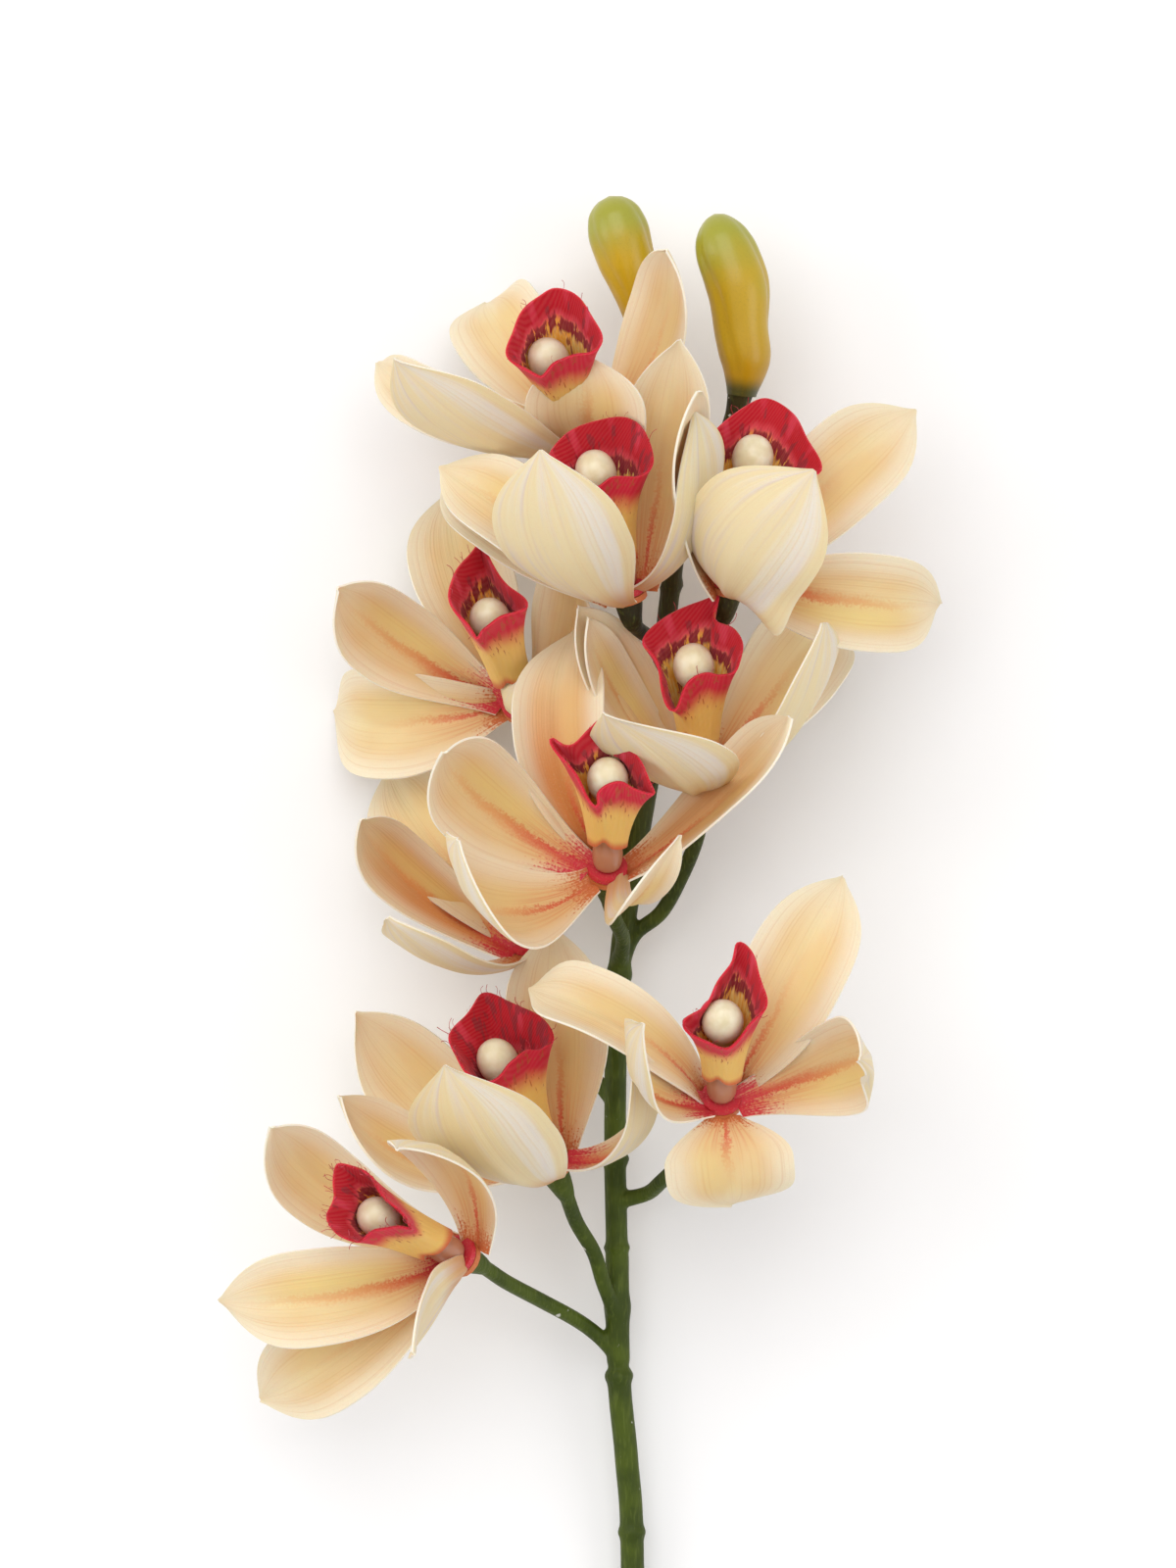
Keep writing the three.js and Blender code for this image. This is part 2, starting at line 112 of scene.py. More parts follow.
# matt white laminate: soft highlights and a hardly visible unevenness
table_material, tree, shader = new_material("matt_white_laminate")
grain = add(tree, "ShaderNodeTexNoise", {"Scale": 900.0, "Detail": 2.0})
soft = add(tree, "ShaderNodeBump", {"Strength": 0.02, "Height": grain.outputs["Fac"]})
fill(tree, shader, {
    "Normal": soft.outputs[0],
    "Base Color": linear("#f7f6f4"),
    "Roughness": 0.7,
})
half = TABLE_SIZE / 2
table_mesh = bpy.data.meshes.new("table_top")
table_mesh.from_pydata(
    [(-half, -half, 0), (half, -half, 0), (half, half, 0), (-half, half, 0)], [], [(0, 1, 2, 3)]
)
table_mesh.materials.append(table_material)
table_top = bpy.data.objects.new("table_top", table_mesh)
bpy.context.scene.collection.objects.link(table_top)

# Each softbox: its place and size in metres, and its power in watts. All face the part's origin.
SOFTBOXES = {
    "softbox_above": ((-0.2, 0.9, 1.9), 1.8, 20),
    "softbox_left": ((-1.6, 0.2, 1.1), 1.2, 8),
    "softbox_right": ((1.5, -0.3, 1.2), 1.0, 5),
}
for name, (place, size, power) in SOFTBOXES.items():
    light = bpy.data.lights.new(name, "AREA")
    light.shape = "SQUARE"
    light.size = size
    light.energy = power
    lamp = bpy.data.objects.new(name, light)
    lamp.location = place
    lamp.rotation_mode = "QUATERNION"
    lamp.rotation_quaternion = (-lamp.location).to_track_quat("-Z", "Y")
    bpy.context.scene.collection.objects.link(lamp)

ROOM_STRENGTH = 0.73  # of the white room's own light
room = bpy.data.worlds.new("white_room")
room.use_nodes = True
room.node_tree.nodes["Background"].inputs["Color"].default_value = linear("#fbfbff")
room.node_tree.nodes["Background"].inputs["Strength"].default_value = ROOM_STRENGTH
bpy.context.scene.world = room
bpy.context.scene.view_settings.view_transform = "Standard"

# ---- Sepals and petals ----
# Die-cut latex-coated foam sheet, printed on both faces and pressed hot into a hollow blade with
# a creased midrib. Three sepals are joined at a small disc, and two petals at another one over it.

SEPAL_LENGTH = 67
SEPAL_WIDTH = 27
PETAL_LENGTH = 66
PETAL_WIDTH = 26
SHEET_THICKNESS = 0.6
BLADE_BASE_WIDTH = 8
BLADE_WIDEST_AT = 0.55  # of the length
BLADE_TIP_WIDTH = 1.0
BLADE_POINT = 1.6  # higher keeps a blade wide for longer, and its tip blunter
STRAIGHTEST = 0.998  # a blade's chord, as a share of its length, at most
CUP_ANGLE = 55  # how far a blade curls across its width, degrees
LEAST_CUP = 4
BASE_CUP = 1.6  # how much more a blade curls at its base, as a share
CREASE_DEPTH = 0.9
CREASE_WIDTH = 1.5
RIB_HEIGHT = 0.12  # of the shallow ribs along a blade
RIB_TURN = 9  # radians of rib from the midrib to an edge
WAVE_HEIGHT = 0.8  # of the wavy edges
WAVES_ALONG = 1.1
EDGE_LAG = 1.9  # radians between the waves of a blade's two edges
FLOWER_LAG = 1.7  # of one flower and the next
BLADE_LAG = 2.3  # of one blade and the next
CORNER_LENGTH = 0.12  # of the blade
# painted shade of a blade that isn't given its own, 0 to 1
PLAIN_PAINTED_SHADE = 0.15
HUB_RADIUS = 5.2
HUB_THICKNESS = 1.6
HUB_SIDES = 16
BLADE_START_RADIUS = 4.4
HUB_GAP = 0.35
ACROSS = 24  # squares of a blade's mesh
ALONG = 40

# Each flower: its base, and from there its column's head and its lip's long lobe. Each blade: its tip
# from the base, and bow, 1 when it curls inwards and -1 outwards. Its inner face looks the way that
# facing says, or up and then turned about its length by face degrees. sway draws its middle sideways
# by that many mm. cup, widest and point stand for the values above where a blade has its own. corner
# draws an edge out: which edge (-1 or 1), how far along, and by how much. A blade's painted shade, 0
# to 1, is how deep an orange-brown lies over its lower part where it lies in shade.

FLOWERS = [
    dict(
        base=(0, 287, 40), column=(-10, 21, 25), lip=(-8, 38, 31),
        sepal_left=dict(tip=(-26, 38, -38), bow=-1, length=63, sway=-1),
        petal_left=dict(tip=(-54, 22, -18), bow=-1, width=17, sway=-5),
        dorsal=dict(tip=(-49, 21, 38), facing=(0.05, 0.9, -0.4), bow=1, width=30),
        petal_right=dict(tip=(0, 22, 26), facing=(-0.2, -0.6, 0.7), bow=-1, length=36, width=33),
        sepal_right=dict(tip=(20, 49, 28), facing=(-0.6, 0.1, 0.7), bow=1, length=63, width=24, sway=-3),
    ),
    dict(
        base=(10, 248, 54), column=(-8, 31, 13), lip=(-8, 45, 13),
        sepal_left=dict(tip=(-47, 32, -20), bow=-1, length=62, width=23),
        petal_left=dict(tip=(-48, 33, 0), face=15, bow=-1, length=59, sway=-1, width=24),
        dorsal=dict(tip=(-22, 36, 48), facing=(0.15, 0.75, -0.5), bow=1, width=37, sway=2),
        petal_right=dict(tip=(17, 46, 30), face=-110, bow=1, length=59, painted_shade=0.9),
        sepal_right=dict(tip=(13, 65, 12), bow=1, width=24),
    ),
    dict(
        base=(36, 250, 50), column=(6, 33, 12), lip=(10, 48, 10),
        sepal_left=dict(tip=(-8, 49, 45), face=65, bow=1, length=67.5),
        petal_left=dict(tip=(4, 24, 30), facing=(0.9, 0.2, 0.3), bow=1, length=40, width=14),
        dorsal=dict(
            tip=(21, 29, 50), facing=(0.45, 0.5, -0.7), bow=1, width=38, sway=3,
            corner=(-1, 0.27, (1, -8, 0)),
        ),
        petal_right=dict(tip=(54, -4, -10), bow=-1, length=60, sway=2),
        sepal_right=dict(tip=(48, 46, -6), bow=-1, sway=-3),
    ),
    dict(
        base=(-17, 220, 24), column=(-8, 22, 28), lip=(-10, 42, 25),
        sepal_left=dict(tip=(-18, 56, -23.3), bow=-1, length=64, sway=-4),
        petal_left=dict(tip=(-47, 30, 34), bow=1, width=24, sway=-3),
        dorsal=dict(tip=(-49, -1, -22), bow=-1, length=56, width=30, sway=-4),
        petal_right=dict(tip=(2, 7, 16), facing=(0.7, 0.6, 0.3), bow=1, length=22, width=24),
        sepal_right=dict(tip=(11, 38, 22), face=-50, bow=1, length=46),
    ),
    dict(
        base=(29, 201, 36), column=(-2, 29, 18), lip=(2, 46, 19),
        sepal_left=dict(tip=(-31.5, 44, 23), facing=(0.4, 0, 0.9), bow=1, length=58, width=20.5, sway=1),
        petal_left=dict(tip=(-29, 41, 28), facing=(0.6, 0, 0.7), bow=1, length=57, width=16, sway=1),
        dorsal=dict(tip=(-25, 17, 52), facing=(0.1, 1, -0.3), bow=1, width=35, length=60, sway=-9, painted_shade=0.4),
        petal_right=dict(tip=(31, 40, 35), facing=(-0.75, 0.5, -0.3), bow=1, length=62, painted_shade=0.4),
        sepal_right=dict(tip=(32, 40, -35.5), bow=-1),
    ),
    dict(
        base=(5, 177, 49), column=(0, 24, 24), lip=(1, 37, 30),
        sepal_left=dict(tip=(-8, 63, -10), bow=-1, length=66, width=25, sway=-8, painted_shade=1.0),
        petal_left=dict(tip=(-41, 31, 36), bow=1, sway=-4, width=28),
        dorsal=dict(tip=(-38, 9, 47), face=56, bow=1, width=36, sway=-4, length=68),
        petal_right=dict(tip=(18, 10, 34), facing=(0.2, -0.9, -0.3), bow=-1, length=42, width=15, sway=-11),
        sepal_right=dict(tip=(46, 40, 30), face=-57, bow=1, width=26, sway=-4, painted_shade=0.5),
    ),
    dict(
        base=(-14, 158, 26), column=(-14, 27, 15), lip=(-17, 42, 16),
        sepal_left=dict(tip=(-38, 46, -25), bow=-1, sway=-2),
        petal_left=dict(tip=(-44, 33, 30), face=20, bow=1, width=20, painted_shade=0.9),
        dorsal=dict(tip=(-37, 8, 50), facing=(0.1, 0.98, -0.05), bow=1, length=62.4, width=22),
        petal_right=dict(tip=(4, 42, 8), face=-30, bow=1, length=46),
        sepal_right=dict(tip=(-1, 42, -22), bow=-1, length=48),
    ),
    dict(
        base=(-9, 101, 38), column=(-14, 28, 14), lip=(-19, 45, 11),
        sepal_left=dict(tip=(-51, 40, -8), bow=1, sway=-4, painted_shade=0),
        petal_left=dict(tip=(-55, 19, 10), face=50, bow=1, length=61),
        dorsal=dict(tip=(-27, 28, 50), facing=(0.05, 0.8, -0.4), bow=1, width=39),
        petal_right=dict(tip=(19, 36, 32), facing=(-0.85, 0.4, -0.1), bow=1, length=60, width=28),
        sepal_right=dict(tip=(0, 62, -4), bow=-1, length=60.5),
    ),
    dict(
        base=(34, 119, 64), column=(0, 21, 27), lip=(3, 40, 29),
        sepal_left=dict(
            tip=(-49, 29, 7), face=45, bow=-1, length=59, width=25, sway=-4, widest=0.7, point=2.2,
        ),
        petal_left=dict(tip=(-20, 21, 54), face=74, bow=1, length=63, width=21),
        dorsal=dict(tip=(3, -26, -5), bow=-1, length=29, width=33, point=2.2, cup=8, widest=0.42),
        petal_right=dict(tip=(34, 12, 46), bow=1, sway=1, corner=(1, 0.78, (-4, 5, 0))),
        sepal_right=dict(tip=(31, 57, 2), bow=-1),
    ),
    dict(
        base=(-32, 79, 52), column=(-21, 11, 25), lip=(-31, 24, 31),
        sepal_left=dict(tip=(-48, 34, 25), facing=(0.4, -0.5, 0.75), bow=1, sway=-8, width=23, painted_shade=0),
        petal_left=dict(tip=(-62, -11, 8), bow=-1, sway=-3, painted_shade=0),
        dorsal=dict(tip=(-52, -37, -14), face=5, bow=-1, sway=-2),
        petal_right=dict(
            tip=(-11.5, -22, 58), facing=(-0.85, 0.2, -0.3), bow=-1, length=59, width=16, cup=20,
        ),
        sepal_right=dict(tip=(-16, 29, 52), face=-60, bow=1, length=65.5),
    ),
]
FLOWER_NUMBERS = range(1, len(FLOWERS) + 1)


def unit(v):
    """v at length 1."""
    return np.asarray(v, float) / np.linalg.norm(v)


def turned_about(v, axis, angle):
    """v turned about a unit axis by an angle in radians."""
    cos, sin = math.cos(angle), math.sin(angle)
    return v * cos + np.cross(axis, v) * sin + axis * (axis @ v) * (1 - cos)


def blade_outline(v, width, point, widest):
    """The half width of a blade as a share of its widest, at v along its length."""
    base = BLADE_BASE_WIDTH / width
    rise = base + (1 - base) * np.sin(np.pi / 2 * np.clip(v / widest, 0, 1)) ** 1.3
    fall = np.cos(np.pi / 2 * np.clip((v - widest) / (1 - widest), 0, 1) ** point)
    return np.maximum(np.where(v < widest, rise, fall), BLADE_TIP_WIDTH / width)


def bent_line(v, chord):
    """An arc of unit length whose ends lie chord apart: places on a level chord, and headings."""
    low, high = 0.02, 6.0  # radians: the arc's whole turn lies between, and is found by halving
    for _ in range(40):
        turn = (low + high) / 2
        if math.sin(turn / 2) * 2 / turn > chord:
            low = turn
        else:
            high = turn
    heading = turn * (v - 0.5)
    line = np.concatenate([[0], np.cumsum(np.exp(1j * (heading[1:] + heading[:-1]) / 2) / (len(v) - 1))])
    return line, heading


def both_faces(middle, out, thickness):
    """The points of a sheet's two faces, the one on the side of out first."""
    layers = [middle + out * thickness / 2, middle - out * thickness / 2]
    return np.concatenate([layer.reshape(-1, 3) for layer in layers])


def squares(index):
    """The faces between the rows and columns of a grid of points."""
    corners = [index[:-1, :-1], index[:-1, 1:], index[1:, 1:], index[1:, :-1]]
    return np.stack(corners, -1).reshape(-1, 4)


def sheet_marks(across, along):
    """For each point of a sheet's two faces: across, along, and 1 on the first face."""
    marks = np.zeros((2, len(along), len(across), 3))
    marks[..., 0] = across
    marks[..., 1] = along[:, None]
    marks[0, ..., 2] = 1
    return marks.reshape(-1, 3)


def blade_sheet(start, tip, bow, length, width, phase, face=0, facing=(0, 0, 1), sway=0, cup=CUP_ANGLE,
                widest=BLADE_WIDEST_AT, point=BLADE_POINT, corner=None):
    """One blade of sheet: points, faces and marks. phase, in radians, is where its waves start, and
    the rest is as FLOWERS gives it."""
    chord = tip - start
    along = unit(chord)
    facing = np.array(facing, float)
    inner = unit(facing - along * (facing @ along))
    inner = turned_about(inner, along, math.radians(face))
    sideways = np.cross(along, inner)
    v = np.linspace(0, 1, ALONG + 1)
    side = np.linspace(-1, 1, ACROSS + 1)
    marks = sheet_marks(side, v)
    line, heading = bent_line(v, min(np.linalg.norm(chord) / length, STRAIGHTEST))
    line = line * np.linalg.norm(chord) / abs(line[-1])
    side, v, heading = side[None, :, None], v[:, None, None], heading[:, None, None]
    spine = start + np.outer(line.real, along) + bow * np.outer(line.imag, inner)
    spine = spine[:, None, :] + sideways * sway * 4 * v * (1 - v)
    tangent = along * np.cos(heading) + inner * bow * np.sin(heading)
    normal = inner * np.cos(heading) - along * bow * np.sin(heading)
    beside = np.cross(tangent, normal)
    half_width = width / 2 * blade_outline(v, width, point, widest)
    cup_here = math.radians(max(cup, LEAST_CUP)) * (1 + BASE_CUP * (1 - v) ** 3)
    curl = side * half_width * cup_here / width
    curl_radius = width / cup_here
    out = normal * np.cos(curl) - beside * np.sin(curl)
    middle = spine + beside * curl_radius * np.sin(curl) + normal * curl_radius * (1 - np.cos(curl))
    lift = -CREASE_DEPTH * (1 - v) ** 0.6 * np.exp(-(side * half_width / CREASE_WIDTH) ** 2)
    lift = lift + RIB_HEIGHT * np.sin(side * RIB_TURN + phase) * np.sin(np.pi * v) ** 2
    waves = np.sin(2 * np.pi * WAVES_ALONG * v + phase + EDGE_LAG * (side > 0))
    middle = middle + out * (lift + WAVE_HEIGHT * side ** 2 * waves)
    if corner:
        edge, at, pull = corner
        drawn = np.exp(-((v - at) / CORNER_LENGTH) ** 2) * np.clip(side * edge, 0, 1) ** 3
        middle = middle + drawn * np.array(pull, float)
    count = (ALONG + 1) * (ACROSS + 1)
    index = np.arange(count).reshape(ALONG + 1, ACROSS + 1)
    quads = squares(index)
    rim = np.concatenate([index[0, :-1], index[:-1, -1], index[-1, :0:-1], index[:0:-1, 0]])
    nxt = np.roll(rim, -1)
    cut_edge = np.stack([rim, rim + count, nxt + count, nxt], -1)
    faces = np.concatenate([quads, quads[:, ::-1] + count, cut_edge])
    return both_faces(middle, out, SHEET_THICKNESS), faces, marks


def flower_axes(flower):
    """The flower's axis, the direction of its lip and the third one."""
    axis = unit(flower["column"])
    lip = np.array(flower["lip"], float)
    lip_side = unit(lip - axis * (lip @ axis))
    return axis, lip_side, np.cross(axis, lip_side)


def lathed(centre, axis, aside, profile, segments):
    """A closed round piece: its profile is (radius, distance) pairs from axis to axis."""
    third = np.cross(axis, aside)
    angles = np.linspace(0, 2 * np.pi, segments, endpoint=False)
    ring = np.outer(np.cos(angles), aside) + np.outer(np.sin(angles), third)
    middle = profile[1:-1]
    points = [centre + axis * profile[0][1]]
    points += [centre + axis * h + ring * r for r, h in middle]
    points.append(centre + axis * profile[-1][1])
    faces = []
    for i in range(segments):
        j = (i + 1) % segments
        faces.append((0, 1 + j, 1 + i))
        for k in range(len(middle) - 1):
            a, b = 1 + k * segments, 1 + (k + 1) * segments
            faces.append((a + i, a + j, b + j, b + i))
        last = 1 + (len(middle) - 1) * segments
        faces.append((last + i, last + j, last + segments))
    return np.vstack([np.atleast_2d(p) for p in points]), faces


def in_one(shapes):
    """Several shapes' points and faces as those of one mesh."""
    faces, offset = [], 0
    for points, own_faces in shapes:
        faces += [tuple(np.array(f) + offset) for f in own_faces]
        offset += len(points)
    return np.vstack([points for points, _ in shapes]), faces


def blade_ring(number, names, hub_at, length, width):
    """The blades of one ring and the disc that joins them: points, faces, and marks with painted shade last.
    """
    flower = FLOWERS[number - 1]
    base = np.array(flower["base"], float)
    axis, lip_side, _ = flower_axes(flower)
    low, high = hub_at - HUB_THICKNESS / 2, hub_at + HUB_THICKNESS / 2
    profile = [(0, low), (HUB_RADIUS, low), (HUB_RADIUS, high), (0, high)]
    shapes = [lathed(base, axis, lip_side, profile, HUB_SIDES)]
    marks = [np.tile([0, 0, 1.0, 0], (len(shapes[0][0]), 1))]
    for k, name in enumerate(names):
        blade = {"length": length, "width": width, **flower[name]}
        tip = np.array(blade.pop("tip"), float)
        # how deep this blade's painted shade lies
        painted_shade = blade.pop("painted_shade", PLAIN_PAINTED_SHADE)
        outwards = unit(tip - axis * (tip @ axis))
        start = base + axis * hub_at + outwards * BLADE_START_RADIUS
        phase = number * FLOWER_LAG + k * BLADE_LAG
        points, faces, mark = blade_sheet(start, base + tip, phase=phase, **blade)
        shapes.append((points, faces))
        marks.append(np.column_stack([mark, np.full(len(mark), painted_shade)]))
    return *in_one(shapes), np.vstack(marks)


def set_mark(piece, marks):
    """Keeps where each point lies on the flat sheet, for the print: across, along, inner and, on a
    blade, how deep its painted shade is."""
    layer = piece.data.attributes.new("sheet_place", "FLOAT_VECTOR", "POINT")
    layer.data.foreach_set("vector", np.ascontiguousarray(marks[:, :3], np.float32).ravel())
    if marks.shape[1] > 3:
        depth = piece.data.attributes.new("painted_shade", "FLOAT", "POINT")
        depth.data.foreach_set("value", np.ascontiguousarray(marks[:, 3], np.float32))


def overlap(tree, *masks):
    """Masks multiplied together. Each is a share from 0 to 1, or (value, clear, full), which rises
    smoothly from nothing where the value is clear to all where it is full."""
    whole = None
    for mask in masks:
        if isinstance(mask, tuple):
            value, clear, full = mask
            limits = {"Value": value, "From Min": clear, "From Max": full}
            mask = add(tree, "ShaderNodeMapRange", limits, interpolation_type="SMOOTHSTEP").outputs["Result"]
        if whole is not None:
            mask = add(tree, "ShaderNodeMath", {0: whole, 1: mask}, operation="MULTIPLY").outputs[0]
        whole = mask
    return whole


def coat(tree, under, over, *masks):
    """One colour printed over another, where the masks overlap. A colour is a hex value or a socket."""
    under, over = (linear(c) if isinstance(c, str) else c for c in (under, over))
    inputs = {0: overlap(tree, *masks), 6: under, 7: over}
    return add(tree, "ShaderNodeMix", inputs, data_type="RGBA").outputs[2]


def wandering(tree, value, noise, reach):
    """A value moved about by noise, up to half of reach either way."""
    centred = add(tree, "ShaderNodeMath", {0: noise, 1: 0.5}, operation="SUBTRACT").outputs[0]
    return add(tree, "ShaderNodeMath", {0: centred, 1: reach, 2: value}, operation="MULTIPLY_ADD").outputs[0]


def apart(tree, value, middle):
    """How far a value is from the middle."""
    off = add(tree, "ShaderNodeMath", {0: value, 1: middle}, operation="SUBTRACT").outputs[0]
    return add(tree, "ShaderNodeMath", {0: off}, operation="ABSOLUTE").outputs[0]


def sheet_place(tree):
    """A point's place on the flat sheet, and its three parts: across, along and inner."""
    place = add(tree, "ShaderNodeAttribute", attribute_name="sheet_place").outputs["Vector"]
    parts = add(tree, "ShaderNodeSeparateXYZ", {"Vector": place}).outputs
    return place, parts["X"], parts["Y"], parts["Z"]


def streaks(tree, place, fine, long, seed, detail=3.0):
    """Noise drawn out along the sheet, with about as many spots across as fine and along as long; its
    lines close up with a blade at base and tip."""
    drawn = add(tree, "ShaderNodeVectorMath", {
        0: place, 1: (fine, long, 0.0), 2: (0.0, 0.0, seed),
    }, operation="MULTIPLY_ADD")
    noise = add(tree, "ShaderNodeTexNoise", {"Vector": drawn.outputs[0], "Scale": 1.0, "Detail": detail})
    return noise.outputs["Fac"]


def printed_sheet(name, glow, streak, flame_width, base_tint, base_reach):
    """Latex-coated foam sheet: matt, a little waxy, with light passing into it. The print fades from
    peach to a cream margin, with veins, and the cut edge shows the white foam. glow is how yellow it is
    beside the midrib. A flame runs up to streak along, flame_width wide at the base, and the foot has
    base_tint up to base_reach along."""
    made, tree, shader = new_material(name)
    place, across, along, inner = sheet_place(tree)
    # how deep each blade's painted shade lies, 0 to 1
    painted_shade = add(tree, "ShaderNodeAttribute", attribute_name="painted_shade").outputs["Fac"]
    from_midrib = apart(tree, across, 0.0)
    spot = add(tree, "ShaderNodeTexCoord").outputs["Object"]
    spray = add(tree, "ShaderNodeTexNoise", {"Vector": spot, "Scale": 1.5 / MM, "Detail": 1.0}).outputs[0]
    cloudy = streaks(tree, place, 1.6, 2.2, 3.1, 2.0)
    veins = streaks(tree, place, 30.0, 0.8, 7.7, 1.0)
    rays = streaks(tree, place, 17.0, 0.7, 1.3)
    bands = streaks(tree, place, 3.0, 0.7, 11.0, 2.0)
    lilac = streaks(tree, place, 5.0, 1.1, 5.5, 2.0)
    # the inner face: painted shade, an orange-brown over the lower half that is deeper on blades lying in
    # shade, cream to the margin and tip, then veins
    body = coat(tree, "#dcba86", "#e2cc98", (cloudy, 0.3, 0.7))
    # painted shade: orange-brown over the lower blade, deepest on blades that lie in shade
    body = coat(tree, body, "#c98144", painted_shade, (along, 1.0, 0.3))
    body = coat(tree, body, "#e8dabd", (from_midrib, 0.35, 0.95))
    body = coat(tree, body, "#e6d8ba", (along, 0.65, 0.95), 0.7)
    # painted shade: a clouded orange towards the base of every blade
    body = coat(tree, body, "#dfaa68", (along, 0.55, 0.05), (cloudy, 0.15, 0.75), 0.4)
    one_side = apart(tree, across, 0.28)
    body = coat(tree, body, "#e4ce80", (along, 0.12, 0.4), (along, 0.9, 0.55), (one_side, 0.5, 0.0), glow)
    body = coat(tree, body, "#c9935c", (veins, 0.54, 0.75), 0.22)
    body = coat(tree, body, "#d2683c", (rays, 0.5, 0.6), (from_midrib, 0.8, 0.2), (along, 0.42, 0.08), 0.55)
    # a flame of orange over red beside the midrib: sharp on one side, speckled on the other
    beside = wandering(tree, across, streaks(tree, place, 2.0, 4.0, 6.2), 0.3)
    beside = wandering(tree, beside, spray, 0.25)
    far_side = add(tree, "ShaderNodeMapRange", {
        "Value": along, "From Min": streak, "From Max": 0.0, "To Min": -0.1, "To Max": -0.1 - flame_width,
    }).outputs["Result"]
    lower = (along, streak + 0.25, 0.1)
    fire = coat(tree, "#d68a48", "#cc4a34", (along, 0.5, 0.15))
    body = coat(tree, body, fire, (beside, 0.12, 0.0), (beside, far_side, 0.0), lower, 0.9)
    foot = wandering(tree, wandering(tree, along, rays, 0.35), spray, 0.25)
    body = coat(tree, body, base_tint, (foot, base_reach, 0.03))
    # the outer face: paler, banded, with a breath of lilac
    back = coat(tree, "#dfd7c8", "#e0cfa4", (bands, 0.35, 0.6))
    back = coat(tree, back, "#cfc4c4", (lilac, 0.5, 0.68), 0.7)
    back = coat(tree, back, "#d8bd90", (veins, 0.5, 0.72), 0.3)
    back = coat(tree, back, "#c78a54", (along, 0.3, 0.02), 0.8)
    both = coat(tree, back, body, (inner, 0.45, 0.55))
    # the cut edge, where the mark passes from one face to the other
    both = coat(tree, both, "#efe5d2", (apart(tree, inner, 0.5), 0.49, 0.44))
    # printing grain, about half a millimetre
    grain = add(tree, "ShaderNodeTexNoise", {"Vector": spot, "Scale": 2.2 / MM, "Detail": 2.0}).outputs[0]
    both = coat(tree, both, "#d8b98c", (grain, 0.5, 0.8), 0.25)
    ribs = add(tree, "ShaderNodeMath", {
        0: veins, 1: 0.8, 2: overlap(tree, bands, 0.5),
    }, operation="MULTIPLY_ADD")
    bump = add(tree, "ShaderNodeBump", {"Strength": 0.35, "Distance": 0.4 * MM, "Height": ribs.outputs[0]})
    fine = add(tree, "ShaderNodeBump", {
        "Strength": 0.12, "Distance": 0.1 * MM, "Height": grain, "Normal": bump.outputs[0],
    })
    fill(tree, shader, {
        "Base Color": both,
        "Normal": fine.outputs[0],
        "Roughness": 0.55,
        "Specular IOR Level": 0.3,
        "Subsurface Weight": 0.25,
        "Subsurface Radius": (1.0, 0.55, 0.3),
        "Subsurface Scale": 2 * MM,
    })
    return made


SEPAL_SHEET = printed_sheet("printed_foam_sheet_sepal", 0.3, 0.42, 0.04, "#c8703f", 0.12)
PETAL_SHEET = printed_sheet("printed_foam_sheet_petal", 0.6, 0.75, 0.45, "#c93240", 0.18)

# Each ring: its blades, how far up the flower's axis it sits, its length and width, and its sheet.
RINGS = {
    "sepal": (("sepal_left", "dorsal", "sepal_right"), 0, SEPAL_LENGTH, SEPAL_WIDTH, SEPAL_SHEET),
    "petal": (
        ("petal_left", "petal_right"), HUB_THICKNESS + HUB_GAP, PETAL_LENGTH, PETAL_WIDTH, PETAL_SHEET,
    ),
}
for number in FLOWER_NUMBERS:
    for kind, (names, hub_at, length, width, sheet) in RINGS.items():
        points, faces, marks = blade_ring(number, names, hub_at, length, width)
        piece = mesh_object(f"{kind}_ring_{number}", points, faces, sheet)
        set_mark(piece, marks)
        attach(piece, "root")
        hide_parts(f"{kind}s_{number}")

# ---- Lips ----
# Printed cotton twill, stiffened and rolled into a hooded funnel round the column, which bulges where
# the column's head fills it. Its raw edge is a little frayed.

LIP_TUBE_RADIUS = 4.8
LIP_FAR_START = 8.0  # along the axis, where the tube begins behind the column
LIP_NEAR_START = 14.0  # and in front of it, where the two edges leave a notch
LIP_NOTCH = 2.5
LIP_NOTCH_WIDTH = 0.3  # radians
SHOULDER_HEIGHT = 0.6  # of the way up, where the tube opens out
SHOULDER_REACH = 0.2  # of the way out
PLEAT_HEIGHT = 0.06
PLEATS = 26
RUFFLE_HEIGHT = 0.45
RUFFLES = 5
TWILL_THICKNESS = 0.7
HEAD_RADIUS = 5.3  # of the column's head, which the lip goes round
HEAD_HALF_LENGTH = 6.2
HEAD_ROOM = 0.8  # from the head to the middle of the cloth
LIP_AROUND = 96
LIP_ALONG = 26

